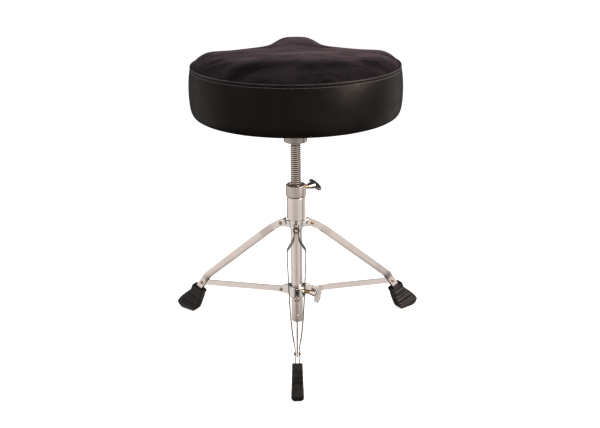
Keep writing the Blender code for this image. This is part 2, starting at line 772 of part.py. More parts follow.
def add_wing_bolt(name, direction, level, tip, reach, tilt, stud_parent, wing_parent):
    """A brass stud from its tip to inside the wing, and the cast wing at reach from the axis."""
    along = Vector((*direction, 0.0))
    height = Vector((0.0, 0.0, level))
    shift = reach - 0.048
    stud = rod_mesh(STUD_RADIUS, along * tip + height, along * (0.040 + shift) + height,
                    chamfer=0.0006)
    add_mesh(f"{name}_stud", stud, "stud_brass", stud_parent)
    side = Vector((-direction[1], direction[0], 0.0))
    up = Vector((0.0, 0.0, 1.0))
    arm = math.cos(tilt) * side + math.sin(tilt) * up
    across = along.cross(arm)
    axes = Matrix((along, arm, across)).transposed().to_4x4()
    place = Matrix.Translation(height + along * shift) @ axes
    wing = add_mesh(
        f"{name}_wing",
        plate_mesh(wing_outline(), WING_THICKNESS / 2.0, place),
        "cast_chrome",
        wing_parent,
    )
    neck_profile = [
        (0.0, 0.0440),
        (0.0074, 0.0440),
        (0.0068, 0.0400),
        (WING_NECK_RADIUS, 0.0340),
        (WING_NECK_RADIUS - 0.0004, 0.0305),
        (0.0, 0.0305),
    ]
    stand = Matrix.Translation(height + along * shift) @ frame_along(along, (0, 0, 0))
    neck = turned_mesh(neck_profile, STEPS_MEDIUM, stand)
    boolean(wing, add_cutter(f"{name}_wing_neck", neck, wing_parent), "UNION")
    socket = rod_mesh(STUD_HOLE, along * (0.020 + shift) + height,
                      along * (0.040 + shift + GAP) + height)
    boolean(wing, add_cutter(f"{name}_wing_socket", socket, wing_parent))


# ---- legs -------------------------------------------------------------------------------------
def leg_path():
    """The strip's centre line in the leg frame, from its inner end to its end in the foot."""
    pivot = Vector(UPPER_PIVOT)
    first = (Vector(LEG_BENDS[0]) - pivot).normalized()
    return [pivot - LEG_OVERHANG * first, *map(Vector, LEG_BENDS), Vector(LEG_END)]


def path_point(distance):
    """The centre line's point, and the direction across it, at a distance from the upper pivot."""
    path = leg_path()
    left = distance + LEG_OVERHANG
    for a, b in zip(path, path[1:]):
        length = (b - a).length
        if left <= length + 1e-6 or b is path[-1]:
            along = (b - a).normalized()
            return a + along * left, Vector((-along.y, along.x))
        left -= length
    return None


def strip_mesh(side):
    """One flat steel strip, spread from its partner along the middle of the leg."""
    rings = []
    for distance, spread in SPREAD:
        centre, across = path_point(distance)
        inner = side * (spread - STRIP_THICKNESS / 2.0)
        outer = side * (spread + STRIP_THICKNESS / 2.0)
        high = centre + across * STRIP_WIDTH / 2.0
        low = centre - across * STRIP_WIDTH / 2.0
        rings.append(
            [
                (low.x, inner, low.y),
                (high.x, inner, high.y),
                (high.x, outer, high.y),
                (low.x, outer, low.y),
            ]
        )
    return loft_mesh(rings)


def rivet_mesh(pivot, half_span):
    """A rivet across the leg with a domed head at each end."""
    head = half_span + RIVET_HEAD_HEIGHT
    shoulder = RIVET_HEAD - 0.0007
    rise = half_span + RIVET_HEAD_HEIGHT * 0.6
    half = [(0.0, head), (shoulder, head), (RIVET_HEAD, rise), (RIVET_HEAD, half_span)]
    half.append((RIVET_RADIUS, half_span))
    profile = half + [(radius, -height) for radius, height in reversed(half)]
    place = frame_along((0.0, 1.0, 0.0), (pivot[0], 0.0, pivot[1]))
    return turned_mesh(profile, STEPS_SMALL, place)


def half_rivet_mesh(pivot, side):
    """Half of the lower rivet: a head outside one strip and a shank that ends short of the strut."""
    face = 0.0036 + STRIP_THICKNESS / 2.0 + GAP
    head = face + RIVET_HEAD_HEIGHT
    profile = [
        (0.0, head),
        (RIVET_HEAD - 0.0007, head),
        (RIVET_HEAD, face + RIVET_HEAD_HEIGHT * 0.6),
        (RIVET_HEAD, face),
        (RIVET_RADIUS, face),
        (RIVET_RADIUS, FLANGE_INNER),
        (0.0, FLANGE_INNER),
    ]
    place = frame_along((0.0, side, 0.0), (pivot[0], 0.0, pivot[1]))
    return turned_mesh(profile, STEPS_SMALL, place)


def strip_frame():
    """The frame of the strip's last stretch: X along it into the foot, Z across it, at the pivot."""
    along = (Vector(LEG_END) - Vector(LEG_BENDS[1])).normalized()
    turn = Matrix.Rotation(-math.atan2(along.y, along.x), 4, "Y")
    return Matrix.Translation((FOOT_PIVOT[0], 0.0, FOOT_PIVOT[1])) @ turn


def add_foot(name, parent):
    """A rubber boot with a flat sole, a pocket for both strips and a groove for the strut's swing."""
    outline = [Vector(point) for point in FOOT_OUTLINE]
    body = plate_mesh(outline, FOOT_HALF_WIDTH, STAND_UP)
    top = max(point.y for point in outline)
    for vertex in body.vertices:
        vertex.co.y *= 1.0 - (1.0 - FOOT_TOP_WIDTH_SHARE) * vertex.co.z / top
    foot = add_mesh(name, body, "rubber", parent)
    soften = foot.modifiers.new("soften", "BEVEL")
    soften.width = 0.0022
    soften.segments = 2
    soften.limit_method = "ANGLE"
    soften.angle_limit = math.radians(60.0)
    pocket = box_mesh(
        (-0.010, -POCKET_HALF_WIDTH, -POCKET_HALF_HEIGHT),
        (0.0345, POCKET_HALF_WIDTH, POCKET_HALF_HEIGHT),
        strip_frame(),
    )
    boolean(foot, add_cutter(f"{name}_pocket", pocket, parent))
    groove = box_mesh((0.0, -0.0020, 0.0), (0.0245, 0.0020, 0.030), strip_frame())
    boolean(foot, add_cutter(f"{name}_groove", groove, parent))


def add_leg(number, frame):
    """Two strips, their rivets and the foot, all turning on the upper pivot."""
    x, z = UPPER_PIVOT
    axis = empty(f"leg_{number}_axis", frame, (x, 0.0, z))
    for label, side in (("left", -1), ("right", 1)):
        strip = add_mesh(f"leg_{number}_strip_{label}", strip_mesh(side), "chrome", axis)
        for pivot, place in ((UPPER_PIVOT, "upper"), (FOOT_PIVOT, "lower")):
            hole = rod_mesh(RIVET_HOLE, (pivot[0], 0.0005 * side, pivot[1]),
                            (pivot[0], 0.008 * side, pivot[1]))
            name = f"leg_{number}_{label}_{place}_hole"
            boolean(strip, add_cutter(name, hole, axis))
        rivet = half_rivet_mesh(FOOT_PIVOT, side)
        add_mesh(f"leg_{number}_lower_rivet_{label}", rivet, "rivet_brass", axis)
    face = 0.0041 + STRIP_THICKNESS / 2.0 + GAP
    rivet = rivet_mesh(UPPER_PIVOT, face)
    add_mesh(f"leg_{number}_upper_rivet", rivet, "rivet_brass", axis)
    add_foot(f"rubber_foot_{number}", axis)


def add_strut(number, frame, hub):
    """The flat bar from the sliding hub to the leg, and its inner rivet."""
    start, end = Vector(LOWER_PIVOT), Vector(FOOT_PIVOT)
    along = end - start
    slope = math.atan2(along.y, along.x)
    outline = arc(end, STRUT_HALF_HEIGHT, slope - math.pi / 2, slope + math.pi / 2)
    outline += arc(start, STRUT_HALF_HEIGHT, slope + math.pi / 2, slope + 1.5 * math.pi)
    axis = empty(f"strut_{number}_axis", frame, (start.x, 0.0, start.y))
    strut = plate_mesh(outline, STRUT_HALF_THICKNESS, STAND_UP)
    strut = add_mesh(f"strut_{number}", strut, "chrome", axis)
    for place, pivot in (("inner", LOWER_PIVOT), ("outer", FOOT_PIVOT)):
        hole = add_cutter(f"strut_{number}_{place}_hole", pin_hole(pivot, 0.004), axis)
        boolean(strut, hole)
    rivet = rivet_mesh(LOWER_PIVOT, FLANGE_OUTER + GAP)
    rivet.transform(Matrix.Rotation(leg_turn(number), 4, "Z"))
    add_mesh(f"strut_{number}_inner_rivet", rivet, "rivet_brass", hub)


# ---- assembly ---------------------------------------------------------------------------------
clear_scene()
PARTS = new_collection("drum_throne")
CUTTERS = new_collection("drum_throne_cutters")
MATERIALS = {name: make_material(name) for name in FINISHES}


def build_throne():
    column_y = (FOOT_REACH - NOSE_TIP_Y) / 2.0
    throne = empty("throne_base", None, (0.0, column_y, 0.0))
    seat = empty("seat_turntable", throne)
    spindle = empty("spindle_slide", throne)
    hub = empty("hub_slide", throne)

    add_board(seat)
    add_foam(seat)
    add_side_cover(seat)
    add_top_cover(seat)
    add_piping(seat)
    add_under_cover(seat)
    add_bracket(seat)
    add_seat_fasteners(seat)
    add_wing_bolt("seat_clamp", (0.0, 1.0), SEAT_CLAMP_Z, NECK_RADIUS + GAP, 0.051,
                  math.radians(80.0), seat, seat)

    add_spindle(spindle)
    add_column(throne)
    add_collar(throne)
    add_upper_hub(throne)
    add_wing_bolt("collar", azimuth(COLLAR_AZIMUTH), COLLAR_STUD_Z, SPINDLE_RADIUS + GAP, 0.045,
                  math.radians(18.0), throne, throne)

    add_lower_hub(hub)
    add_wing_bolt("hub", azimuth(HUB_AZIMUTH), HUB_STUD_Z, TUBE_RADIUS + GAP, 0.048,
                  math.radians(55.0), hub, hub)
    for number in range(1, LEG_COUNT + 1):
        frame = empty(f"leg_{number}_frame", throne, turn=leg_turn(number))
        add_leg(number, frame)
        add_strut(number, frame, hub)


build_throne()
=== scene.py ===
"""Drum throne, dressed: covers, threads, castings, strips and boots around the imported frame.

Metres, +Z up, in the frame's own axes. Azimuth 0 points to -Y, where the camera stands, and turns
towards +X. Leg pieces are drawn in the leg frame: X runs outwards from the column, Y along the
hinge pin, and one turn about the column puts them in place.
"""

import math

import bmesh
import bpy
import numpy as np
from mathutils import Matrix, Vector, noise


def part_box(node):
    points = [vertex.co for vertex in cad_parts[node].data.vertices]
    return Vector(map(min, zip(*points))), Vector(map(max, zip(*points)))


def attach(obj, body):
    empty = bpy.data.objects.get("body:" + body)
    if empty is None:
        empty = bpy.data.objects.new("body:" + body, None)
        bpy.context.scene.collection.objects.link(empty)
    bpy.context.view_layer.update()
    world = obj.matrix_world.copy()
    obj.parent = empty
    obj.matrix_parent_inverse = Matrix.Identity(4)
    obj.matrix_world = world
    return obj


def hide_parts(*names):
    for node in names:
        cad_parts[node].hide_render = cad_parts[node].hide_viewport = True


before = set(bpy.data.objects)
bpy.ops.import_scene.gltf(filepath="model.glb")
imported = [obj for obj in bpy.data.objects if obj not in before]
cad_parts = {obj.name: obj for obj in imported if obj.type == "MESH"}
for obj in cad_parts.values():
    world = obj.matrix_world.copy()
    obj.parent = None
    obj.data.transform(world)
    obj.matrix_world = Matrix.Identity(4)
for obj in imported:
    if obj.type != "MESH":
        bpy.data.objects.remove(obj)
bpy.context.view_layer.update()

# ---- driving dimensions ----------------------------------------------------------------------
LEGS = (1, 2, 3)
TUBE_LOW, TUBE_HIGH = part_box("column_tube")
COLUMN = Vector(((TUBE_LOW.x + TUBE_HIGH.x) / 2.0, (TUBE_LOW.y + TUBE_HIGH.y) / 2.0, 0.0))

# Seat outline: a round back, two ears, hollow thigh lines and a nose
SEAT_SHIFT = COLUMN.xy + Vector((0.0018, 0.0))  # the cushion sits a little to one side of its bracket
SEAT_RADIUS = 0.200
SEAT_CENTRE_Y = 0.035
EAR_RADIUS = 0.0406
EAR_ANGLE = math.radians(12.0)
THIGH_ANGLE = math.radians(81.2)
THIGH_END_X = 0.100
HOLLOW_RADIUS = 0.035
NOSE_SIDE_ANGLE = math.radians(16.5)
NOSE_CORNER_RADIUS = 0.044
NOSE_TIP_Y = 0.222
SEAT_POINTS = 264
SEAT_BOTTOM_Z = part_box("seat_side_cover")[0].z
SEAM_Z = (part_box("seat_piping")[0].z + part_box("seat_piping")[1].z) / 2.0
SEAM_INSET = 0.0052
CROWN = 0.0298
CROWN_RUN = 0.0135
EAR_FALL = 0.33
EAR_FALL_END = 0.140
CROWN_RINGS = 30
PIPING_RADIUS = 0.0013
CLOTH_FRAMES = 20
CLOTH_REACH = 0.0030  # the most that the simulation may move the skin
STITCH_PITCH = 0.0046

# Column
SPINDLE_RADIUS = 0.0098
THREAD_PITCH = 0.004
THREAD_DEPTH = 0.0014
NECK_RADIUS = 0.0093
NECK_Z = 0.3900
HOUSING_RADIUS = 0.0179
COLLAR_RADIUS = 0.0193
GRUB_SCREW_SIDE = 77.0  # degrees of azimuth
BOLTS = (  # name, degrees of azimuth, the stud's tip and end off the axis, its height
    ("collar", 125.0, 0.0102, 0.0370, 0.3055),
    ("hub", 60.0, 0.0117, 0.0400, 0.0970),
    ("seat_clamp", 180.0, 0.0092, 0.0430, 0.4145),
)

# Legs
UPPER_PIVOT = (0.033, 0.232)
LOWER_PIVOT = (0.034, 0.0922)
FOOT_PIVOT = (0.2275, 0.0685)
LEG_BENDS = ((0.0543, 0.220), (0.215, 0.086))
BEND_RADII = (0.050, 0.018)
LEG_END = (0.247, 0.041)
LEG_OVERHANG = 0.0106
STRIP_WIDTH = 0.0135
STRIP_THICKNESS = 0.0018
SPREAD = (  # distance past the upper pivot, and how far the strip stands off the leg's plane there
    (-LEG_OVERHANG, 0.0041),
    (0.021, 0.0041),
    (0.0244, 0.0058),
    (0.046, 0.0174),
    (0.074, 0.0169),
    (0.147, 0.0137),
    (0.188, 0.0112),
    (0.226, 0.0073),
    (0.2337, 0.0058),
    (0.246, 0.0036),
    (0.290, 0.0036),
)

# ---- node helpers -----------------------------------------------------------------------------


class Finish:
    """A material on one Principled shader, with a few short calls for its patterns."""

    def __init__(self, name, colour, roughness, metallic=0.0):
        self.material = bpy.data.materials.new(name)
        self.material.use_nodes = True
        self.tree = self.material.node_tree
        self.shader = self.tree.nodes["Principled BSDF"]
        self.base = colour
        self.set("Base Color", (*colour, 1.0))
        self.set("Roughness", roughness)
        self.set("Metallic", metallic)
        self.place = self.tree.nodes.new("ShaderNodeTexCoord").outputs["Object"]

    def set(self, socket, value):
        self.shader.inputs[socket].default_value = value

    def link(self, output, target):
        self.tree.links.new(output, target)

    def scaled(self, scale, turn=(0.0, 0.0, 0.0)):
        mapping = self.tree.nodes.new("ShaderNodeMapping")
        mapping.inputs["Scale"].default_value = scale
        mapping.inputs["Rotation"].default_value = turn
        self.link(self.place, mapping.inputs["Vector"])
        return mapping.outputs["Vector"]

    def noise(self, scale, detail=3.0, stretch=(1.0, 1.0, 1.0), turn=(0.0, 0.0, 0.0), warp=0.0):
        node = self.tree.nodes.new("ShaderNodeTexNoise")
        node.inputs["Scale"].default_value = scale
        node.inputs["Detail"].default_value = detail
        node.inputs["Distortion"].default_value = warp
        self.link(self.scaled(stretch, turn), node.inputs["Vector"])
        return node.outputs["Fac"]

    def cells(self, scale, feature="F1", stretch=(1.0, 1.0, 1.0)):
        node = self.tree.nodes.new("ShaderNodeTexVoronoi")
        node.feature = feature
        node.inputs["Scale"].default_value = scale
        self.link(self.scaled(stretch), node.inputs["Vector"])
        return node.outputs["Distance"]

    def waves(self, scale, direction, warp=0.0):
        node = self.tree.nodes.new("ShaderNodeTexWave")
        node.bands_direction = direction
        node.inputs["Scale"].default_value = scale
        node.inputs["Distortion"].default_value = warp
        self.link(self.place, node.inputs["Vector"])
        return node.outputs["Fac"]

    def ramp(self, value, stops):
        node = self.tree.nodes.new("ShaderNodeValToRGB")
        fill_ramp(node, stops)
        self.link(value, node.inputs["Fac"])
        return node.outputs["Color"]

    def span(self, value, low, high, start=0.3, end=0.7):
        node = self.tree.nodes.new("ShaderNodeMapRange")
        node.inputs["From Min"].default_value = start
        node.inputs["From Max"].default_value = end
        node.inputs["To Min"].default_value = low
        node.inputs["To Max"].default_value = high
        self.link(value, node.inputs["Value"])
        return node.outputs["Result"]

    def maths(self, operation, a, b):
        node = self.tree.nodes.new("ShaderNodeMath")
        node.operation = operation
        for socket, value in zip(node.inputs, (a, b)):
            if isinstance(value, (int, float)):
                socket.default_value = value
            else:
                self.link(value, socket)
        return node.outputs["Value"]

    def blend(self, first, share, second):
        """A share of the first value and the rest of the second."""
        return self.maths("ADD", self.maths("MULTIPLY", first, share),
                          self.maths("MULTIPLY", second, 1.0 - share))

    def off_axis(self, inner, outer):
        """0 to 1 from an inner to an outer distance off the column's axis."""
        shift = self.tree.nodes.new("ShaderNodeVectorMath")
        shift.operation = "SUBTRACT"
        shift.inputs[1].default_value = COLUMN
        self.link(self.place, shift.inputs[0])
        flat = self.tree.nodes.new("ShaderNodeVectorMath")
        flat.operation = "MULTIPLY"
        flat.inputs[1].default_value = (1.0, 1.0, 0.0)
        self.link(shift.outputs["Vector"], flat.inputs[0])
        length = self.tree.nodes.new("ShaderNodeVectorMath")
        length.operation = "LENGTH"
        self.link(flat.outputs["Vector"], length.inputs[0])
        return self.span(length.outputs["Value"], 0.0, 1.0, inner, outer)

    def colour(self, value, stops):
        self.link(self.ramp(value, stops), self.shader.inputs["Base Color"])

    def shades(self, value, *stops):
        """Each stop is (position, factor on the base colour)."""
        self.colour(value, [(position, tuple(channel * factor for channel in self.base))
                            for position, factor in stops])

    def rough(self, value, low, high):
        self.link(self.span(value, low, high), self.shader.inputs["Roughness"])

    def bump(self, *layers):
        """Each layer is (height, strength, distance), one on top of the other."""
        normal = None
        for height, strength, distance in layers:
            node = self.tree.nodes.new("ShaderNodeBump")
            node.inputs["Strength"].default_value = strength
            node.inputs["Distance"].default_value = distance
            self.link(height, node.inputs["Height"])
            if normal is not None:
                self.link(normal, node.inputs["Normal"])
            normal = node.outputs["Normal"]
        self.link(normal, self.shader.inputs["Normal"])


def fill_ramp(node, stops):
    """Sets a colour ramp's stops, each (position, colour or grey level)."""
    elements = node.color_ramp.elements
    while len(elements) < len(stops):
        elements.new(0.5)
    for element, (position, colour) in zip(elements, stops):
        element.position = position
        shade = colour if isinstance(colour, tuple) else (colour, colour, colour)
        element.color = (*shade, 1.0)


def plated(name, colour, roughness, grain=0.02):
    """Polished plate: a faint cloudiness in its gloss and fine polishing lines."""
    made = Finish(name, colour, roughness, 1.0)
    cloud = made.noise(38.0, 4.0)
    made.shades(cloud, (0.25, 0.95), (0.75, 1.04))
    lines = made.noise(900.0, 2.0, (1.0, 1.0, 0.08), warp=0.3)
    made.rough(made.blend(lines, 0.5, cloud), roughness * 0.7, roughness * 1.5)
    made.bump((lines, grain, 0.0002), (made.noise(160.0, 2.0), grain * 1.5, 0.0006))
    return made.material


def chrome_material():
    return plated("bright_chrome", (0.70, 0.640, 0.610), 0.07)


def cast_chrome_material():
    """Plate over a casting, with the soft waviness of the casting under it, and its hollows painted dark as
    shade.
    """
    made = Finish("cast_chrome", (0.66, 0.63, 0.61), 0.10, 1.0)
    cloud = made.noise(60.0, 3.0)
    # Painted shade: where the surface curves inwards, in hollows and between parts, the colour goes nearly
    # black.
    hollow = made.tree.nodes.new("ShaderNodeNewGeometry").outputs["Pointiness"]
    depth = made.span(hollow, 0.0, 1.0, 0.470, 0.4985)
    made.shades(made.blend(cloud, 0.15, depth), (0.10, 0.06), (0.55, 0.45), (0.90, 1.05))
    made.rough(cloud, 0.06, 0.15)
    made.bump((made.noise(110.0, 2.0), 0.06, 0.0010), (made.noise(700.0, 2.0), 0.02, 0.0002))
    return made.material


def brushed_material():
    """The lock collar: brushed up and down."""
    made = Finish("brushed_steel", (0.54, 0.48, 0.455), 0.26, 1.0)
    streaks = made.noise(520.0, 3.0, (1.0, 1.0, 0.035))
    made.shades(streaks, (0.3, 0.72), (0.7, 1.22))
    made.rough(streaks, 0.18, 0.36)
    made.bump((streaks, 0.35, 0.0003))
    return made.material


def zinc_material():
    """Zinc plate: a satin grey with its spangle."""
    made = Finish("zinc_plate", (0.46, 0.45, 0.44), 0.36, 1.0)
    spangle = made.cells(420.0)
    made.shades(spangle, (0.1, 0.85), (0.8, 1.12))
    made.rough(made.noise(200.0, 3.0), 0.28, 0.48)
    made.bump((made.noise(800.0, 2.0), 0.12, 0.0002))
    return made.material


def thread_material():
    """Rolled thread: roots painted dark as shade and crests painted bright as highlight, with patchy dirt
    from a noise.
    """
    made = Finish("rolled_thread", (0.60, 0.545, 0.51), 0.16, 1.0)
    dirt = made.noise(240.0, 4.0)
    # Painted light: the colour runs from dark in the thread's roots (painted shade) to bright on its crests
    # (painted highlight).
    crest = made.off_axis(SPINDLE_RADIUS - THREAD_DEPTH, SPINDLE_RADIUS)
    made.shades(made.blend(dirt, 0.2, crest), (0.08, 0.16), (0.45, 0.60), (0.85, 1.10))
    made.rough(dirt, 0.12, 0.24)
    made.bump((made.noise(900.0, 2.0), 0.03, 0.0002))
    return made.material


def brass_material(name, colour, roughness):
    made = Finish(name, colour, roughness, 1.0)
    tarnish = made.noise(330.0, 4.0)
    made.shades(tarnish, (0.25, 0.60), (0.70, 1.15))
    made.rough(tarnish, roughness * 0.7, roughness * 1.5)
    made.bump((made.noise(1100.0, 2.0), 0.15, 0.0002))
    return made.material


def rubber_material():
    """Moulded rubber: fine mould grain and a greyish bloom in places."""
    made = Finish("moulded_rubber", (0.014, 0.0125, 0.012), 0.52)
    bloom = made.noise(90.0, 5.0, warp=0.4)
    made.colour(bloom, ((0.35, (0.0035, 0.0031, 0.0029)), (0.75, (0.0100, 0.0088, 0.0081))))
    made.rough(bloom, 0.34, 0.56)
    made.set("Specular IOR Level", 0.36)
    made.bump((made.noise(1500.0, 2.0), 0.25, 0.0002), (bloom, 0.10, 0.0006))
    return made.material


def velour_material():
    """Short dense pile, brushed in soft patches that lean one way or the other."""
    made = Finish("velour", (0.034, 0.027, 0.033), 0.92)
    patches = made.noise(24.0, 5.0, (0.6, 1.4, 1.0), (0.0, 0.0, 0.25), warp=0.6)
    fine = made.noise(150.0, 4.0, (0.6, 1.5, 1.0))
    nap = made.blend(patches, 0.72, fine)
    made.colour(nap, (
        (0.36, (0.0030, 0.0024, 0.0030)),
        (0.48, (0.0075, 0.0060, 0.0074)),
        (0.62, (0.0150, 0.0118, 0.0145)),
    ))
    made.link(made.span(nap, 0.30, 0.62, 0.38, 0.60), made.shader.inputs["Sheen Weight"])
    made.set("Sheen Roughness", 0.25)
    made.set("Sheen Tint", (0.30, 0.235, 0.280, 1.0))
    made.set("Specular IOR Level", 0.04)
    pile = made.noise(2600.0, 2.0)
    made.bump((patches, 0.30, 0.0030), (fine, 0.35, 0.0010), (pile, 0.60, 0.0004))
    return made.material


def vinyl_material():
    """Upholstery vinyl: pressed leather grain, a little uneven in its gloss."""
    made = Finish("grained_vinyl", (0.0045, 0.0042, 0.0040), 0.44)
    cloud = made.noise(24.0, 4.0)
    made.colour(cloud, ((0.3, (0.0026, 0.0021, 0.0019)), (0.7, (0.0048, 0.0040, 0.0036))))
    made.rough(made.noise(55.0, 4.0), 0.30, 0.44)
    made.set("Specular IOR Level", 0.07)
    grain = made.cells(700.0, "SMOOTH_F1")
    pores = made.noise(1500.0, 2.0)
    made.bump((cloud, 0.20, 0.0015), (grain, 0.40, 0.0003), (pores, 0.20, 0.0001))
    return made.material


def piping_material():
    made = Finish("welt_vinyl", (0.020, 0.017, 0.017), 0.34)
    cloud = made.noise(70.0, 4.0)
    made.colour(cloud, ((0.3, (0.012, 0.010, 0.010)), (0.7, (0.026, 0.023, 0.023))))
    made.rough(cloud, 0.28, 0.44)
    made.set("Specular IOR Level", 0.35)
    made.bump((made.cells(1400.0, "SMOOTH_F1"), 0.25, 0.0002))
    return made.material


def thread_yarn_material():
    """Sewing thread: dark, with the twist of its plies."""
    made = Finish("sewing_thread", (0.050, 0.042, 0.038), 0.6)
    twist = made.waves(420.0, "DIAGONAL", 1.0)
    made.colour(twist, ((0.2, (0.020, 0.017, 0.016)), (0.8, (0.085, 0.072, 0.066))))
    made.set("Sheen Weight", 0.3)
    made.bump((twist, 0.5, 0.0002))
    return made.material


def dust_cloth_material():
    """Black non-woven cloth under the seat: short fibres pressed in a dotted pattern."""
    made = Finish("dust_cloth", (0.016, 0.016, 0.016), 0.9)
    dots = made.cells(520.0)
    fibres = made.noise(900.0, 5.0, (1.0, 0.25, 1.0))
    made.colour(fibres, ((0.3, (0.009, 0.009, 0.009)), (0.7, (0.030, 0.030, 0.031))))
    made.set("Sheen Weight", 0.2)
    made.bump((dots, 0.5, 0.0003), (fibres, 0.4, 0.0002))
    return made.material


def plywood_material():
    made = Finish("plywood", (0.50, 0.36, 0.22), 0.7)
    grain = made.noise(30.0, 6.0, (0.35, 4.0, 12.0), warp=0.8)
    made.colour(grain, ((0.3, (0.34, 0.22, 0.12)), (0.7, (0.60, 0.45, 0.29))))
    made.rough(grain, 0.60, 0.80)
    made.bump((grain, 0.2, 0.0005))
    return made.material


def foam_material():
    made = Finish("foam", (0.72, 0.66, 0.54), 0.95)
    pores = made.cells(900.0)
    made.colour(pores, ((0.1, (0.50, 0.44, 0.34)), (0.6, (0.78, 0.72, 0.60))))
    made.bump((pores, 0.6, 0.0006))
    return made.material


MATERIALS = {
    "chrome": chrome_material(),
    "cast_chrome": cast_chrome_material(),
    # The bracket's plate is the polished plate darkened all over: painted shade for where it sits under the
    # seat.
    "bracket_steel": plated("bracket_plate_painted_dark", (0.34, 0.31, 0.295), 0.12, 0.04),
    "brushed_collar": brushed_material(),
    "zinc_steel": zinc_material(),
    "thread_steel": thread_material(),
    "rivet_brass": brass_material("rivet_brass", (0.36, 0.24, 0.15), 0.26),
    "stud_brass": brass_material("stud_brass", (0.66, 0.45, 0.24), 0.24),
    "rubber": rubber_material(),
    "plywood": plywood_material(),
    "foam": foam_material(),
    "velour": velour_material(),
    "vinyl": vinyl_material(),
    "piping": piping_material(),
    "dust_cloth": dust_cloth_material(),
}
YARN = thread_yarn_material()
# Cut edges: rougher than the broad faces, and darker in colour as painted shade.
SHADED_CUT_EDGE = plated("cut_edge_dull_and_shaded", (0.27, 0.25, 0.24), 0.24, 0.06)


# ---- piece helpers ----------------------------------------------------------------------------
def placed(name, data):
    """A new object in the scene that holds the data."""
    made = bpy.data.objects.new(name, data)
    bpy.context.scene.collection.objects.link(made)
    return made


def mesh_of(name, points, faces):
    mesh = bpy.data.meshes.new(name)
    mesh.from_pydata([tuple(p) for p in points], [], faces)
    work = bmesh.new()
    work.from_mesh(mesh)
    bmesh.ops.recalc_face_normals(work, faces=work.faces)
    work.to_mesh(mesh)
    work.free()
    return mesh


def joined(name, meshes):
    """One mesh from several closed ones."""
    work = bmesh.new()
    for mesh in meshes:
        work.from_mesh(mesh)
    made = bpy.data.meshes.new(name)
    work.to_mesh(made)
    work.free()
    return made


def add_piece(name, mesh, slot, body, replaced=(), sharp=32.0, material=None):
    """A piece in place, on its body, with its slot's material, standing for the replaced nodes."""
    mesh.materials.clear()
    mesh.materials.append(material or MATERIALS[slot])
    mesh.shade_smooth()
    mesh.set_sharp_from_angle(angle=math.radians(sharp))
    piece = placed(name, mesh)
    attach(piece, body)
    if replaced:
        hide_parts(*replaced)
    return piece


def add_modifier(piece, kind, **values):
    modifier = piece.modifiers.new(kind.lower(), kind)
    for key, value in values.items():
        setattr(modifier, key, value)
    return modifier


def applied(mesh, *modifiers):
    """The mesh with modifiers, each (kind, values), applied to it in turn."""
    raw = placed("raw", mesh)
    for kind, values in modifiers:
        add_modifier(raw, kind, **values)
    bpy.context.view_layer.update()
    made = bpy.data.meshes.new_from_object(raw.evaluated_get(bpy.context.evaluated_depsgraph_get()))
    bpy.data.objects.remove(raw)
    return made


def cad_mesh(node):
    """A copy of a CAD node's mesh with its split corners joined and its flat faces whole."""
    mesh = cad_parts[node].data.copy()
    work = bmesh.new()
    work.from_mesh(mesh)
    bmesh.ops.remove_doubles(work, verts=work.verts, dist=0.00001)
    bmesh.ops.dissolve_limit(work, angle_limit=math.radians(0.5), verts=work.verts, edges=work.edges)
    work.to_mesh(mesh)
    work.free()
    return mesh


def frame_along(direction, start):
    turn = Vector((0.0, 0.0, 1.0)).rotation_difference(Vector(direction)).to_matrix().to_4x4()
    return Matrix.Translation(Vector(start)) @ turn


def skin(rings, around=True, cap_start=True, cap_end=True, loop=False):
    """Points and faces over rings of equal length."""
    count = len(rings[0])
    points = [p for ring in rings for p in ring]
    faces = []
    pairs = len(rings) if loop else len(rings) - 1
    for k in range(pairs):
        low, high = k * count, ((k + 1) % len(rings)) * count
        for i in range(count if around else count - 1):
            j = (i + 1) % count
            faces.append((low + i, low + j, high + j, high + i))
    if cap_start and not loop:
        faces.append(tuple(range(count)))
    if cap_end and not loop:
        faces.append(tuple(range(len(points) - count, len(points))))
    return points, faces


def turned(profile, steps=72, matrix=None):
    """A body turned about Z from (radius, height) points: closed on the axis, or a closed ring."""
    solid = profile[0][0] == 0.0
    inner = profile[1:-1] if solid else profile
    rings = []
    for radius, height in inner:
        ring = []
        for i in range(steps):
            angle = 2.0 * math.pi * i / steps
            ring.append((radius * math.cos(angle), radius * math.sin(angle), height))
        rings.append(ring)
    points, faces = skin(rings, cap_start=False, cap_end=False, loop=not solid)
    if solid:
        for pole, first in ((profile[0], 0), (profile[-1], len(points) - steps)):
            points.append((0.0, 0.0, pole[1]))
            tip = len(points) - 1
            faces += [(first + i, first + (i + 1) % steps, tip) for i in range(steps)]
    mesh = mesh_of("turned", points, faces)
    if matrix is not None:
        mesh.transform(matrix)
    return mesh


def rounded_profile(corners, radius, steps=4):
    """A closed outline with each corner rounded, as (x, y) pairs."""
    made = []
    count = len(corners)
    for k in range(count):
        before, corner, after = (Vector(corners[(k + s) % count]) for s in (-1, 0, 1))
        reach = min(radius, (before - corner).length * 0.45, (after - corner).length * 0.45)
        start = corner + (before - corner).normalized() * reach
        end = corner + (after - corner).normalized() * reach
        for i in range(steps + 1):
            t = i / steps
            made.append(tuple((1 - t) ** 2 * start + 2 * t * (1 - t) * corner + t * t * end))
    return made


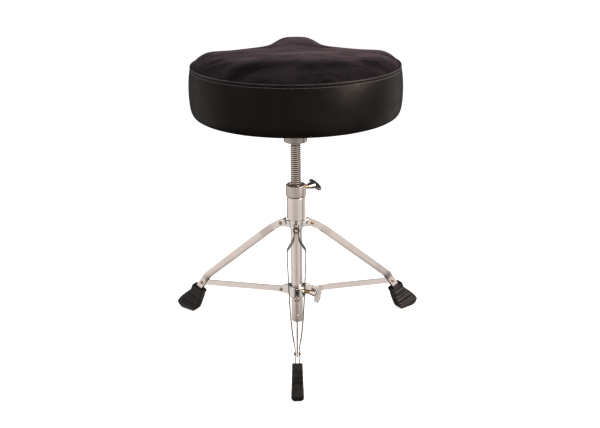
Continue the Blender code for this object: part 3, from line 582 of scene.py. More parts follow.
def ridge(core, height, pitch, low, high, steps=28, share=0.42):
    """A helical thread ridge about Z, from low to high, that fades out at both ends."""
    turns = (high - low) / pitch - share
    total = int(turns * steps)
    rings = []
    for i in range(total + 1):
        angle = 2.0 * math.pi * i / steps
        fade = min(1.0, 2.0 * i / steps, 2.0 * (total - i) / steps)
        top = core + height * fade
        middle = low + pitch * (i / steps + share / 2.0)
        foot, crest = pitch * share * 0.98, pitch * share * 0.42
        base = core - 0.0002
        section = ((base, -foot), (top, -crest), (top, crest), (base, foot))
        turn = (math.cos(angle), math.sin(angle))
        rings.append([(r * turn[0], r * turn[1], middle + z) for r, z in section])
    return mesh_of("ridge", *skin(rings))


# ---- seat -------------------------------------------------------------------------------------
def unit(angle):
    return Vector((math.cos(angle), math.sin(angle)))


def arc(centre, radius, start, end, steps=48):
    return [centre + radius * unit(start + (end - start) * i / steps) for i in range(steps + 1)]


def drawn_outline():
    """The seat's plan at its widest: round back, ear, hollow and nose, then its mirror."""
    back_centre = Vector((0.0, SEAT_CENTRE_Y))
    ear_centre = back_centre + (SEAT_RADIUS - EAR_RADIUS) * unit(EAR_ANGLE)
    ear_end = ear_centre + EAR_RADIUS * unit(THIGH_ANGLE)
    thigh_rise = (ear_end.x - THIGH_END_X) / math.tan(THIGH_ANGLE)
    thigh_end = Vector((THIGH_END_X, ear_end.y + thigh_rise))
    hollow_centre = thigh_end + HOLLOW_RADIUS * unit(THIGH_ANGLE)
    side_point = hollow_centre - HOLLOW_RADIUS * unit(NOSE_SIDE_ANGLE)
    nose_y = NOSE_TIP_Y - NOSE_CORNER_RADIUS
    side_fall = (nose_y - side_point.y) * math.sin(NOSE_SIDE_ANGLE) + NOSE_CORNER_RADIUS
    nose_centre = Vector((side_point.x - side_fall / math.cos(NOSE_SIDE_ANGLE), nose_y))
    half = arc(back_centre, SEAT_RADIUS, -math.pi / 2, EAR_ANGLE)
    half += arc(ear_centre, EAR_RADIUS, EAR_ANGLE, THIGH_ANGLE)[1:]
    half += arc(hollow_centre, HOLLOW_RADIUS, THIGH_ANGLE + math.pi, NOSE_SIDE_ANGLE + math.pi)
    half += arc(nose_centre, NOSE_CORNER_RADIUS, NOSE_SIDE_ANGLE, math.pi / 2)
    return half + [Vector((-p.x, p.y)) for p in reversed(half[1:])]


def reach_along(path):
    """The distance along a path at each of its points."""
    return np.concatenate([[0.0], np.cumsum(np.linalg.norm(np.diff(path, axis=0), axis=1))])


def even_outline():
    """The outline as evenly spaced points, and the outward direction at each."""
    drawn = np.array([tuple(p + SEAT_SHIFT) for p in drawn_outline()])
    closed = np.vstack([drawn, drawn[:1]])
    reach = reach_along(closed)
    wanted = np.arange(SEAT_POINTS) * reach[-1] / SEAT_POINTS
    points = np.column_stack([np.interp(wanted, reach, closed[:, k]) for k in (0, 1)])
    for _ in range(3):
        points = (np.roll(points, 1, 0) + 2.0 * points + np.roll(points, -1, 0)) / 4.0
    along = np.roll(points, -1, 0) - np.roll(points, 1, 0)
    outward = np.column_stack([along[:, 1], -along[:, 0]])
    return points, outward / np.linalg.norm(outward, axis=1)[:, None]


OUTLINE, OUTWARD = even_outline()


def ring_at(inset, height):
    flat = OUTLINE - OUTWARD * inset
    return np.column_stack([flat, np.full(len(flat), height)])


def edge_distance(places, outline):
    """How far each place is from the closed outline."""
    start, side = outline, np.roll(outline, -1, 0) - outline
    gap = places[:, None, :] - start[None]
    along = np.clip((gap * side[None]).sum(2) / (side**2).sum(1)[None], 0.0, 1.0)
    return np.linalg.norm(gap - along[..., None] * side[None], axis=2).min(1)


def smooth_step(value):
    value = np.clip(value, 0.0, 1.0)
    return value * value * (3.0 - 2.0 * value)


def curve_through(knots, steps):
    """A smooth curve through (x, y) knots, steps points to each stretch."""
    knots = [Vector(k) for k in knots]
    padded = [2.0 * knots[0] - knots[1], *knots, 2.0 * knots[-1] - knots[-2]]
    made = []
    for a, b, c, d in zip(padded, padded[1:], padded[2:], padded[3:]):
        for i in range(steps):
            t = i / steps
            made.append(0.5 * (2 * b + (c - a) * t + (2 * a - 5 * b + 4 * c - d) * t**2
                               + (3 * b - a - 3 * c + d) * t**3))
    made.append(knots[-1])
    return made


def crown_rings():
    """Rings over the top from the seam inwards, raised by their distance from the seam."""
    seam = ring_at(SEAM_INSET, SEAM_Z)
    centre = np.array([0.0, SEAT_CENTRE_Y]) + np.array(SEAT_SHIFT)
    rings = []
    for k in range(1, CROWN_RINGS + 1):
        scale = 1.0 - (k / (CROWN_RINGS + 1)) ** 1.5
        flat = centre + (seam[:, :2] - centre) * scale
        fall = 1.0 - EAR_FALL * smooth_step(np.abs(flat[:, 0]) / EAR_FALL_END)
        rise = CROWN * fall * (1.0 - np.exp(-edge_distance(flat, seam[:, :2]) / CROWN_RUN))
        rings.append(np.column_stack([flat, SEAM_Z + rise]))
    return rings


def wall_rings():
    """Rings up the side, from the tucked edge below to the seam."""
    low, high = SEAT_BOTTOM_Z, SEAM_Z
    knots = (
        (0.0190, low + 0.0004),
        (0.0145, low - 0.0006),
        (0.0100, low + 0.0008),
        (0.0054, low + 0.0050),
        (0.0018, low + 0.0127),
        (-0.0006, low + 0.0262),
        (-0.0016, high - 0.0436),
        (-0.0002, high - 0.0190),
        (0.0020, high - 0.0060),
        (SEAM_INSET - 0.0014, high - 0.0012),
    )
    return [ring_at(p.x, p.y) for p in curve_through(knots, 3)]


def pressed(points, faces, pinned, cap):
    """The skin after a cloth simulation under inner pressure, moved by no more than the cap."""
    mesh = mesh_of("pressed", points, faces)
    raw = placed("pressed", mesh)
    group = raw.vertex_groups.new(name="pinned")
    group.add([int(i) for i in np.flatnonzero(pinned)], 1.0, "REPLACE")
    cloth = raw.modifiers.new("cloth", "CLOTH")
    cloth.settings.quality = 7
    cloth.settings.mass = 0.3
    cloth.settings.tension_stiffness = 22.0
    cloth.settings.compression_stiffness = 22.0
    cloth.settings.shear_stiffness = 8.0
    cloth.settings.bending_stiffness = 5.0
    cloth.settings.shrink_min = -0.002
    cloth.settings.use_pressure = True
    cloth.settings.uniform_pressure_force = 4.0
    cloth.settings.effector_weights.gravity = 0.0
    cloth.settings.vertex_group_mass = "pinned"
    cloth.collision_settings.use_collision = False
    cloth.point_cache.frame_start = 1
    cloth.point_cache.frame_end = CLOTH_FRAMES
    scene = bpy.context.scene
    for number in range(1, CLOTH_FRAMES + 1):
        scene.frame_set(number)
    settled = raw.evaluated_get(bpy.context.evaluated_depsgraph_get()).data
    after = np.array([v.co for v in settled.vertices])
    scene.frame_set(1)
    bpy.data.objects.remove(raw)
    move = (after - points).reshape(-1, SEAT_POINTS, 3)
    for _ in range(6):
        around = (np.roll(move, 1, 1) + np.roll(move, -1, 1)) / 2.0
        move = (move + around) / 2.0
        move[1:-1] = (move[:-2] + 2.0 * move[1:-1] + move[2:]) / 4.0
    move = move.reshape(-1, 3)
    length = np.linalg.norm(move, axis=1)[:, None] + 1e-9
    return points + move / length * cap * np.tanh(length / cap)


def seat_skin():
    """The cushion's skin as wall rings and crown rings, filled out by the simulation."""
    wall, crown = wall_rings(), crown_rings()
    seam = [ring_at(SEAM_INSET, SEAM_Z)]
    rings = wall + seam + crown
    points, faces = skin(rings)
    points = np.array(points)
    count = SEAT_POINTS
    pinned = np.zeros(len(points), bool)
    pinned[: 4 * count] = True
    pinned[(len(wall) - 1) * count:(len(wall) + 1) * count] = True
    pinned[-6 * count:] = True
    points = pressed(points, faces, pinned, CLOTH_REACH)
    split = points.reshape(len(rings), SEAT_POINTS, 3)
    return split[: len(wall)], split[len(wall):]


WALL, CROWN_SKIN = seat_skin()


def add_foam():
    """The foam block, a little inside the covers all over."""
    gap = 0.0026
    sides = [ring_at(inset, height) for inset, height in (
        (0.0140, SEAT_BOTTOM_Z + 0.0150), (0.0060, SEAT_BOTTOM_Z + 0.0210), (0.0040, SEAT_BOTTOM_Z + 0.0400),
        (0.0042, SEAM_Z - 0.0300), (0.0062, SEAM_Z - 0.0080), (SEAM_INSET + 0.0050, SEAM_Z - gap),
    )]
    crown = [ring - (0.0, 0.0, gap) for ring in CROWN_SKIN[2:]]
    points, faces = skin([*sides, *crown])
    mesh = mesh_of("seat_foam_block", points, faces)
    piece = add_piece("seat_foam_block", mesh, "foam", "seat", ("seat_foam",), sharp=60.0)


def add_top_cover():
    """The velour panel, with its rim turned down into the seam."""
    tuck = [ring_at(SEAM_INSET + 0.0008, SEAM_Z - 0.0030), ring_at(SEAM_INSET + 0.0002, SEAM_Z - 0.0014)]
    rings = [*tuck, *CROWN_SKIN]
    points, faces = skin(rings)
    mesh = mesh_of("seat_velour", points, faces)
    piece = add_piece("seat_velour_top", mesh, "velour", "seat", ("seat_top_cover",), sharp=180.0)


def add_side_cover():
    """The vinyl band, tucked into the seam above and under the board below."""
    inner = [ring_at(SEAM_INSET + 0.0006, SEAM_Z - 0.0040), ring_at(0.0195, SEAT_BOTTOM_Z + 0.0020)]
    rings = [*WALL, ring_at(SEAM_INSET, SEAM_Z - 0.0016), *inner]
    points, faces = skin(rings, loop=True)
    mesh = mesh_of("seat_vinyl", points, faces)
    piece = add_piece("seat_vinyl_side", mesh, "vinyl", "seat", ("seat_side_cover",), sharp=60.0)


def tube_along(path, radius, sides=10):
    """A closed cord along a closed path of points."""
    path = np.array(path)
    along = np.roll(path, -1, 0) - np.roll(path, 1, 0)
    rings = []
    for place, way in zip(path, along):
        way = Vector(way).normalized()
        side = way.cross(Vector((0.0, 0.0, 1.0))).normalized()
        up = side.cross(way)
        ring = []
        for i in range(sides):
            angle = 2.0 * math.pi * i / sides
            ring.append(Vector(place) + radius * (math.cos(angle) * side + math.sin(angle) * up))
        rings.append(ring)
    return skin(rings, loop=True)


def add_piping():
    path = ring_at(SEAM_INSET - 0.0022, SEAM_Z - 0.0002)
    mesh = mesh_of("seat_piping_cord", *tube_along(path, PIPING_RADIUS))
    add_piece("seat_piping_cord", mesh, "piping", "seat", ("seat_piping",), sharp=180.0)


def stitch_mesh(start, end, out, radius):
    """One stitch: a small bead of thread that dives into the cover at both ends."""
    way = (end - start).normalized()
    side = out.cross(way).normalized()
    rings = []
    for share, dip, size in ((0.0, -0.9, 0.5), (0.12, 0.1, 0.85), (0.5, 0.55, 1.0),
                             (0.88, 0.1, 0.85), (1.0, -0.9, 0.5)):
        centre = start.lerp(end, share) + out * dip * radius
        ring = []
        for i in range(6):
            angle = math.pi * i / 3.0
            ring.append(centre + radius * size * (math.cos(angle) * side + math.sin(angle) * out))
        rings.append(ring)
    return skin(rings)


def beads_of(beads, radius):
    """Points and faces of a row of stitches, from each one's start, end and outward direction."""
    points, faces = [], []
    for start, end, out in beads:
        made, quads = stitch_mesh(start, end, out, radius)
        faces += [tuple(i + len(points) for i in quad) for quad in quads]
        points += made
    return points, faces


def add_stitches():
    """A row of stitches along the side cover, just under the seam."""
    row = WALL[-4]
    closed = np.vstack([row, row[:1]])
    reach = reach_along(closed)
    normals = np.vstack([OUTWARD, OUTWARD[:1]])
    count = int(reach[-1] / STITCH_PITCH)
    beads = []
    for k in range(count):
        first, last = ((k + share) * reach[-1] / count for share in (0.10, 0.84))
        start, end = (Vector([np.interp(at, reach, closed[:, axis]) for axis in range(3)])
                      for at in (first, last))
        out = Vector([*(np.interp(last, reach, normals[:, axis]) for axis in (0, 1)), 0.0]).normalized()
        beads.append((start, end, out))
    mesh = mesh_of("seat_stitches", *beads_of(beads, 0.00042))
    add_piece("seat_stitches", mesh, "piping", "seat", sharp=180.0, material=YARN)


def add_under_side():
    """The dust cloth's folded hem and the staples that hold it to the board."""
    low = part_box("seat_under_cover")[0].z
    hem = mesh_of("dust_cloth_hem", *tube_along(ring_at(0.0205, low + 0.0002), 0.0009, 8))
    add_piece("dust_cloth_hem", hem, "dust_cloth", "seat", sharp=180.0)
    row = ring_at(0.0260, low)
    beads = []
    for k in range(0, SEAT_POINTS, 6):
        middle = Vector(row[k])
        way = Vector((*(row[(k + 1) % SEAT_POINTS] - row[k - 1])[:2], 0.0)).normalized()
        turn = noise.noise(middle * 90.0) * 0.5
        way.rotate(Matrix.Rotation(turn, 3, "Z"))
        beads.append((middle - way * 0.005, middle + way * 0.005, Vector((0.0, 0.0, -1.0))))
    staples = mesh_of("dust_cloth_staples", *beads_of(beads, 0.00045))
    add_piece("dust_cloth_staples", staples, "zinc_steel", "seat", sharp=180.0)


# ---- column -----------------------------------------------------------------------------------
def at_column(mesh):
    mesh.transform(Matrix.Translation(COLUMN))
    return mesh


def add_spindle():
    """The spindle's core and neck with its thread wound on it."""
    low, high = (corner.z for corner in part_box("spindle"))
    core = SPINDLE_RADIUS - THREAD_DEPTH
    profile = [
        (0.0, high), (NECK_RADIUS - 0.0010, high), (NECK_RADIUS, high - 0.0010),
        (NECK_RADIUS, NECK_Z + 0.0050), (core, NECK_Z + 0.0042), (core, low + 0.0015),
        (core - 0.0012, low), (0.0, low),
    ]
    body = turned(profile, 48)
    thread = ridge(core, THREAD_DEPTH, THREAD_PITCH, low + 0.002, NECK_Z + 0.0045)
    mesh = at_column(joined("spindle_threaded", [body, thread]))
    add_piece("spindle_threaded", mesh, "thread_steel", "height_spindle", ("spindle",), sharp=40.0)


def add_tube():
    low, high = TUBE_LOW.z, TUBE_HIGH.z
    outer, inner = (TUBE_HIGH.x - TUBE_LOW.x) / 2.0, 0.0099
    profile = rounded_profile([(inner, high), (outer, high), (outer, low), (inner, low)], 0.0004, 3)
    mesh = at_column(turned(profile, 80))
    add_piece("column_tube_chromed", mesh, "chrome", "base", ("column_tube",))


def azimuth(degrees):
    angle = math.radians(degrees)
    return Vector((math.sin(angle), -math.cos(angle), 0.0))


def cut(mesh, cutter):
    """The mesh with the cutter's shape taken out of it."""
    tool = placed("tool", cutter)
    made = applied(mesh, ("BOOLEAN", {"operation": "DIFFERENCE", "solver": "EXACT", "object": tool}))
    bpy.data.objects.remove(tool)
    return made


def add_housing():
    """The sleeve that holds the height nut, with its rounded rims and the grub screw's dimple."""
    low, high = (corner.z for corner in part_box("column_housing"))
    grub_low, grub_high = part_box("housing_grub_screw")
    step_z = TUBE_HIGH.z + 0.0003
    nut_bore, tube_bore = 0.0148, 0.0113
    corners = [
        (nut_bore, high), (HOUSING_RADIUS, high), (HOUSING_RADIUS, low), (tube_bore, low),
        (tube_bore, step_z), (nut_bore, step_z),
    ]
    body = turned(rounded_profile(corners, 0.0009, 4), 96)
    level = Vector((0.0, 0.0, (grub_low.z + grub_high.z) / 2.0))
    side = azimuth(GRUB_SCREW_SIDE)
    hole = turned([(0.0, 0.008), (0.0031, 0.008), (0.0026, 0.0), (0.0, 0.0)], 24,
                  frame_along(side, side * 0.0166 + level))
    mesh = at_column(cut(body, hole))
    add_piece("column_housing_sleeve", mesh, "chrome", "base", ("column_housing",))
    socket = turned([(0.0, 0.0), (0.0012, 0.0), (0.0012, 0.0025), (0.0, 0.0025)], 6,
                    frame_along(side, side * 0.0160 + level))
    screw = turned([(0.0, 0.0178), (0.0020, 0.0178), (0.0024, 0.0174), (0.0024, 0.0120), (0.0, 0.0120)],
                   24, frame_along(side, level))
    mesh = at_column(cut(screw, socket))
    add_piece("grub_screw_socketed", mesh, "zinc_steel", "base", ("housing_grub_screw",))


def add_collar():
    """The lock collar: chamfered, with a recess round the spindle."""
    low, high = (corner.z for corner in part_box("lock_collar"))
    recess, bore, radius = 0.0128, 0.0098, COLLAR_RADIUS
    corners = [
        (recess, high - 0.0002), (recess + 0.0010, high), (radius - 0.0022, high),
        (radius, high - 0.0018), (radius, low + 0.0016), (radius - 0.0014, low), (bore, low),
        (bore, high - 0.0075), (recess - 0.0010, high - 0.0062),
    ]
    mesh = at_column(turned(rounded_profile(corners, 0.0004, 3), 96))
    add_piece("lock_collar_brushed", mesh, "brushed_collar", "base", ("lock_collar",), sharp=25.0)


def add_casting(node, body, voxel, rounds):
    """A CAD node as a casting: its edges flow into soft fillets."""
    mesh = applied(
        cad_mesh(node),
        ("REMESH", {"mode": "VOXEL", "voxel_size": voxel}),
        ("SMOOTH", {"factor": 0.5, "iterations": rounds}),
    )
    add_piece(f"{node}_cast", mesh, "cast_chrome", body, (node,), sharp=180.0)


def add_softened(node, slot, body, width, name):
    """A CAD node with its edges broken by a small bevel."""
    mesh = applied(
        cad_mesh(node),
        ("BEVEL", {"width": width, "segments": 2, "limit_method": "ANGLE",
                   "angle_limit": math.radians(40.0), "harden_normals": False}),
    )
    add_piece(name, mesh, slot, body, (node,), sharp=20.0)


def add_stud(name, body, direction, tip, end, level):
    """A wing bolt's brass stud with its thread."""
    core, depth = 0.0034, 0.0006
    length = end - tip
    rod = turned([(0.0, length), (core, length), (core, 0.0010), (core - 0.0008, 0.0), (0.0, 0.0)], 28)
    thread = ridge(core, depth, 0.00125, 0.0008, length - 0.0004, 24)
    mesh = joined(f"{name}_threaded", [rod, thread])
    place = COLUMN + direction * tip + Vector((0.0, 0.0, level))
    mesh.transform(frame_along(direction, place))
    add_piece(f"{name}_threaded", mesh, "stud_brass", body, (name,), sharp=40.0)


# ---- legs -------------------------------------------------------------------------------------
def leg_place(number):
    turn = math.radians(120.0 * (number - 1) - 90.0)
    return Matrix.Translation(COLUMN) @ Matrix.Rotation(turn, 4, "Z")


BROAD_FACES = (3, 11)  # places of the two broad faces round a strip's section


def leg_line():
    """The strip's centre line in the leg's plane, with its bends rounded, as (x, z) points."""
    pivot = Vector(UPPER_PIVOT)
    first = (Vector(LEG_BENDS[0]) - pivot).normalized()
    corners = [pivot - LEG_OVERHANG * first, *map(Vector, LEG_BENDS), Vector(LEG_END)]
    line = [corners[0]]
    for before, corner, after, radius in zip(corners, corners[1:], corners[2:], BEND_RADII):
        back, ahead = (before - corner).normalized(), (after - corner).normalized()
        half = math.acos(max(-1.0, min(1.0, back.dot(ahead)))) / 2.0
        reach = radius / math.tan(half)
        start, end = corner + back * reach, corner + ahead * reach
        for i in range(9):
            t = i / 8.0
            line.append((1 - t) ** 2 * start + 2 * t * (1 - t) * corner + t * t * end)
    line.append(corners[-1])
    return np.array([tuple(p) for p in line])


def strip_rings(side, count=84):
    """Rounded sections along one strip of a leg."""
    line = leg_line()
    reach = reach_along(line)
    wanted = np.linspace(0.0, reach[-1], count)
    knots = np.array(SPREAD)
    section = rounded_profile(
        [(-STRIP_WIDTH / 2, -STRIP_THICKNESS / 2), (STRIP_WIDTH / 2, -STRIP_THICKNESS / 2),
         (STRIP_WIDTH / 2, STRIP_THICKNESS / 2), (-STRIP_WIDTH / 2, STRIP_THICKNESS / 2)],
        0.00028, 3,
    )
    rings = []
    for at in wanted:
        x, z = (np.interp(at, reach, line[:, k]) for k in (0, 1))
        ahead = np.array([np.interp(at + 0.0015, reach, line[:, k]) for k in (0, 1)])
        behind = np.array([np.interp(at - 0.0015, reach, line[:, k]) for k in (0, 1)])
        way = Vector(ahead - behind).normalized()
        across = Vector((-way.y, way.x))
        near = [np.interp(at - LEG_OVERHANG + step, knots[:, 0], knots[:, 1])
                for step in (-0.0030, -0.0015, 0.0, 0.0015, 0.0030)]
        spread = side * float(np.mean(near))
        rings.append([(x + across.x * u, spread + v, z + across.y * u) for u, v in section])
    return rings


def head_profile(face, height=0.0015, radius=0.0035, shank=0.0023, inner=0.0):
    """A domed rivet head on a shank, from inner out to the head's top."""
    profile = [(0.0, face + height)]
    for degrees in (25.0, 45.0, 65.0, 85.0):
        angle = math.radians(degrees)
        profile.append((radius * math.sin(angle), face + height * (0.25 + 0.75 * math.cos(angle))))
    profile += [(radius, face), (shank, face), (shank, inner), (0.0, inner)]
    return profile


def rivet_mesh(pivot, side, face, inner, place):
    x, z = pivot
    return turned(head_profile(face, inner=inner), 24,
                  place @ frame_along((0.0, side, 0.0), (x, 0.0, z)))


def add_rivets(number, place):
    """Domed rivets: through the upper pivot, through the hub's fork, and a half in each strip."""
    strip_face = STRIP_THICKNESS / 2.0 + 0.0002
    spans = (
        ("upper_rivet", UPPER_PIVOT, 0.0041 + strip_face, f"leg_{number}", f"leg_{number}_upper_rivet"),
        ("inner_rivet", LOWER_PIVOT, 0.0048, "brace_hub", f"strut_{number}_inner_rivet"),
    )
    for label, pivot, face, body, node in spans:
        mesh = joined(f"{label}_{number}", [rivet_mesh(pivot, side, face, 0.0, place) for side in (-1, 1)])
        add_piece(f"{label}_domed_{number}", mesh, "rivet_brass", body, (node,))
    for name, side in (("left", -1), ("right", 1)):
        mesh = rivet_mesh(FOOT_PIVOT, side, 0.0036 + strip_face, 0.0018, place)
        add_piece(f"lower_rivet_{name}_domed_{number}", mesh, "rivet_brass", f"leg_{number}",
                  (f"leg_{number}_lower_rivet_{name}",))


def add_leg(number):
    place = leg_place(number)
    for name, side in (("left", -1), ("right", 1)):
        rings = strip_rings(side)
        mesh = mesh_of(f"leg_strip_{name}", *skin(rings))
        mesh.transform(place)
        bar = add_piece(f"leg_{number}_flat_bar_{name}", mesh, "chrome", f"leg_{number}",
                        (f"leg_{number}_strip_{name}",))
        # The broad faces are polished; the cut edges and rounded corners are duller, and their colour is
        # darkened as painted shade for dark outlines
        mesh.materials.append(SHADED_CUT_EDGE)
        for face in bar.data.polygons:
            face.material_index = 0 if face.index % len(rings[0]) in BROAD_FACES else 1
    add_rivets(number, place)
    add_softened(f"strut_{number}", "chrome", f"brace_strut_{number}", 0.0004,
                 f"strut_{number}_flat_bar")


# Boot: rails down its inner and outer side, from the collar to the sole, in the leg's plane
INNER_RAIL = ((0.2240, 0.0486), (0.2287, 0.0395), (0.2338, 0.0262), (0.2400, 0.0125), (0.2446, 0.0045),
              (0.2500, 0.0004))
OUTER_RAIL = ((0.2496, 0.0612), (0.2552, 0.0498), (0.2672, 0.0400), (0.2806, 0.0280), (0.2884, 0.0165),
              (0.2800, 0.0030))
BOOT_TOP_HALF = 0.0094
BOOT_SOLE_HALF = 0.0112
BOOT_RINGS = 72
BOOT_NECK = 0.175  # places down the boot, from 0 at the collar to 1 at the sole
BOOT_GROOVES = (0.34, 0.46, 0.58, 0.70)
BOOT_GROOVE_DEPTH = 0.0026


def boot_section():
    """The boot's section round its outline, as (share across, side) points with the long sides divided."""
    corners = rounded_profile([(0.0, -1.0), (1.0, -1.0), (1.0, 1.0), (0.0, 1.0)], 0.16, 4)
    made = []
    for (u1, v1), (u2, v2) in zip(corners, corners[1:] + corners[:1]):
        gap = abs(u2 - u1) + abs(v2 - v1)
        pieces = 10 if gap > 0.5 else 1
        made += [(u1 + (u2 - u1) * i / pieces, v1 + (v2 - v1) * i / pieces) for i in range(pieces)]
    return made


def bell(share, middle, width):
    return math.exp(-((share - middle) / width) ** 2)


def boot_mesh():
    """A rubber boot: lofted between its rails, with a collar, a neck groove and side ribs."""
    inner = curve_through(INNER_RAIL, 12)
    outer = curve_through(OUTER_RAIL, 12)
    section = boot_section()
    rings = []
    for k in range(BOOT_RINGS + 1):
        share = k / BOOT_RINGS
        at = share * (len(inner) - 1)
        low = int(min(at, len(inner) - 2))
        a = inner[low].lerp(inner[low + 1], at - low)
        b = outer[low].lerp(outer[low + 1], at - low)
        neck = bell(share, BOOT_NECK, 0.022)
        ribs = sum(bell(share, middle, 0.020) for middle in BOOT_GROOVES)
        lip = 0.6 * bell(share, 0.02, 0.02)
        close = max(0.0, (share - 0.90) / 0.10)
        half = BOOT_TOP_HALF + (BOOT_SOLE_HALF - BOOT_TOP_HALF) * min(1.0, share * 1.3)
        half -= 0.0011 * neck + 0.0006 * lip
        half *= math.sqrt(max(0.0, 1.0 - close**2 * 0.55))
        trim = 0.0008 * neck + 0.0006 * lip
        way = (b - a).normalized()
        a, b = a + way * trim, b - way * (trim + 0.0009 * ribs)
        ring = []
        for u, v in section:
            inside = float(smooth_step(np.array(min(u, 1.0 - u) / 0.22)))
            groove = BOOT_GROOVE_DEPTH * ribs * inside if abs(v) > 0.99 else 0.0
            flat = a.lerp(b, u)
            ring.append((flat.x, v * half - math.copysign(groove, v), flat.y))
        rings.append(ring)
    return mesh_of("boot", *skin(rings))


def add_boot(number, mesh):
    """One boot, with the pocket that the strips go into."""
    along = (Vector(LEG_END) - Vector(LEG_BENDS[1])).normalized()
    turn = Matrix.Rotation(-math.atan2(along.y, along.x), 4, "Y")
    pocket = bpy.data.meshes.new("pocket")
    work = bmesh.new()
    bmesh.ops.create_cube(work, size=1.0)
    bmesh.ops.scale(work, vec=(0.060, 0.0100, 0.0150), verts=work.verts)
    bmesh.ops.translate(work, vec=(0.0030, 0.0, 0.0), verts=work.verts)
    work.to_mesh(pocket)
    work.free()
    pocket.transform(Matrix.Translation((FOOT_PIVOT[0], 0.0, FOOT_PIVOT[1])) @ turn)
    made = cut(mesh.copy(), pocket)
    made.transform(leg_place(number))
    add_piece(f"rubber_boot_{number}", made, "rubber", f"leg_{number}", (f"rubber_foot_{number}",),
              sharp=50.0)


# ---- carried-over nodes -----------------------------------------------------------------------
def dress_node(node, slot):
    """A CAD node that stays gets its slot's material."""
    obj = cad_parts[node]
    obj.data.materials.clear()
    obj.data.materials.append(MATERIALS[slot])


# ---- stage ------------------------------------------------------------------------------------
def add_floor():
    mesh = mesh_of("floor", [(-6, -6, -0.0002), (6, -6, -0.0002), (6, 6, -0.0002), (-6, 6, -0.0002)],
                   [(0, 1, 2, 3)])
    floor = placed("floor", mesh)
    paper = Finish("studio_paper", (0.86, 0.86, 0.86), 0.9)
    paper.set("Specular IOR Level", 0.0)
    paper.set("Emission Color", (1.0, 1.0, 1.0, 1.0))
    paper.set("Emission Strength", 0.66)
    paper.bump((paper.noise(60.0), 0.02, 0.001))
    mesh.materials.append(paper.material)
    floor.visible_glossy = False


ROOM_TINT = (1.0, 0.945, 0.905)
ROOM_BY_HEIGHT = (  # brightness of the mirrored room, from straight down (0) to straight up (1)
    (0.0, 0.06), (0.16, 0.12), (0.27, 0.92), (0.50, 1.02), (0.76, 1.0), (0.90, 0.30), (1.0, 0.16),
)
ROOM_BY_TURN = (  # and round the horizon, where 0 and 1 lie beyond the object and 0.5 in front of it
    (0.0, 0.08), (0.085, 0.10), (0.15, 0.90), (0.24, 1.08), (0.34, 0.98), (0.44, 0.74), (0.52, 0.74),
    (0.60, 0.95), (0.70, 1.00), (0.755, 0.42), (0.785, 0.40), (0.81, 1.25), (0.86, 1.05), (0.93, 0.12),
    (1.0, 0.08),
)


def add_world():
    """A soft white room for the eye; what metal mirrors is bright at the sides and dark above."""
    world = bpy.data.worlds.new("studio")
    world.use_nodes = True
    tree = world.node_tree
    tree.nodes.clear()

    def node(kind, **values):
        made = tree.nodes.new(f"ShaderNode{kind}")
        for key, value in values.items():
            setattr(made, key, value)
        return made

    def whole_range(value, half):
        """0 to 1 from minus half to plus half."""
        made = node("MapRange")
        made.inputs["From Min"].default_value = -half
        made.inputs["From Max"].default_value = half
        tree.links.new(value, made.inputs["Value"])
        return made.outputs["Result"]

    def brightness(value, stops):
        made = node("ValToRGB")
        fill_ramp(made, stops)
        tree.links.new(value, made.inputs["Fac"])
        return made.outputs["Color"]

    split = node("SeparateXYZ")
    tree.links.new(node("TexCoord").outputs["Generated"], split.inputs[0])
    away = node("Math", operation="MULTIPLY")
    away.inputs[1].default_value = -1.0
    tree.links.new(split.outputs["Y"], away.inputs[0])
    turn = node("Math", operation="ARCTAN2")
    tree.links.new(split.outputs["X"], turn.inputs[0])
    tree.links.new(away.outputs[0], turn.inputs[1])
    mirrored = node("Background")
    warm_room = [(position, tuple(level * tint for tint in ROOM_TINT)) for position, level in ROOM_BY_HEIGHT]
    tree.links.new(brightness(whole_range(split.outputs["Z"], 1.0), warm_room), mirrored.inputs["Color"])
    flags = brightness(whole_range(turn.outputs[0], math.pi), ROOM_BY_TURN)
    tree.links.new(flags, mirrored.inputs["Strength"])
    seen = node("Background")
    seen.inputs["Color"].default_value = (1.0, 1.0, 1.0, 1.0)
    mix = node("MixShader")
    tree.links.new(node("LightPath").outputs["Is Camera Ray"], mix.inputs["Fac"])
    tree.links.new(mirrored.outputs[0], mix.inputs[1])
    tree.links.new(seen.outputs[0], mix.inputs[2])
    tree.links.new(mix.outputs[0], node("OutputWorld").inputs["Surface"])
    bpy.context.scene.world = world


SHEEN_COLOUR = (1.0, 0.80, 0.68)


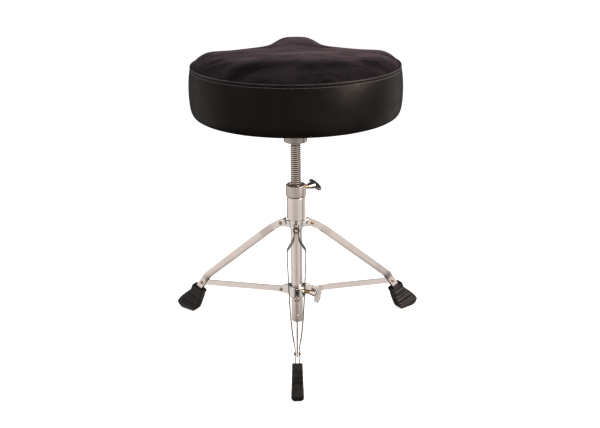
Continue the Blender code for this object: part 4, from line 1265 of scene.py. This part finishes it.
def add_light(name, degrees, elevation, distance, size, power, colour=(1.0, 1.0, 1.0), mirrored=False):
    """A soft area light that faces the seat, from an azimuth and elevation in degrees."""
    lamp = bpy.data.lights.new(name, "AREA")
    lamp.shape = "RECTANGLE"
    lamp.size, lamp.size_y = size
    lamp.energy = power
    lamp.color = colour
    light = placed(name, lamp)
    rise = math.radians(elevation)
    target = COLUMN + Vector((0.0, 0.0, 0.42))
    way = azimuth(degrees) * math.cos(rise) + Vector((0.0, 0.0, math.sin(rise)))
    light.matrix_world = frame_along(way, target + way * distance)
    light.visible_glossy = mirrored


def add_camera():
    camera = bpy.data.cameras.new("camera")
    camera.sensor_width = 36.0
    camera.lens = 61.815
    obj = placed("camera", camera)
    obj.matrix_world = (
        Matrix.Translation(COLUMN + Vector((0.0073, -1.884, 0.891)))
        @ Matrix.Rotation(math.radians(90.0 - 18.67), 4, "X")
        @ Matrix.Rotation(math.radians(-0.574), 4, "Z")
    )
    bpy.context.scene.camera = obj


# ---- assembly ---------------------------------------------------------------------------------
def dress_throne():
    add_top_cover()
    add_side_cover()
    add_foam()
    add_piping()
    add_stitches()
    add_under_side()
    add_softened("seat_bracket", "bracket_steel", "seat", 0.0007, "seat_bracket_pressed")

    add_spindle()
    add_tube()
    add_housing()
    add_collar()
    add_casting("upper_hub", "base", 0.00055, 3)
    add_casting("lower_hub", "brace_hub", 0.0006, 3)
    for bolt, degrees, tip, end, level in BOLTS:
        add_stud(f"{bolt}_stud", f"{bolt}_bolt_stud", azimuth(degrees), tip, end, level)
        add_casting(f"{bolt}_wing", f"{bolt}_bolt_wing", 0.00045, 6)

    boot = boot_mesh()
    for number in LEGS:
        add_leg(number)
        add_boot(number, boot)

    for node, slot in (
        ("seat_base_board", "plywood"), ("seat_under_cover", "dust_cloth"), ("height_nut", "stud_brass"),
    ):
        dress_node(node, slot)
    for number in range(1, 5):
        dress_node(f"bracket_screw_{number}", "zinc_steel")
        dress_node(f"tee_nut_{number}", "zinc_steel")


add_camera()
dress_throne()
add_floor()
add_world()
add_light("overhead", 0.0, 80.0, 1.8, (2.2, 2.2), 26.0)
add_light("side_sheen", 64.0, 14.0, 1.6, (0.50, 1.2), 30.0, SHEEN_COLOUR, mirrored=True)
add_light("front_fill", -35.0, 35.0, 2.2, (1.4, 1.4), 8.0)
bpy.context.scene.view_settings.view_transform = "Standard"
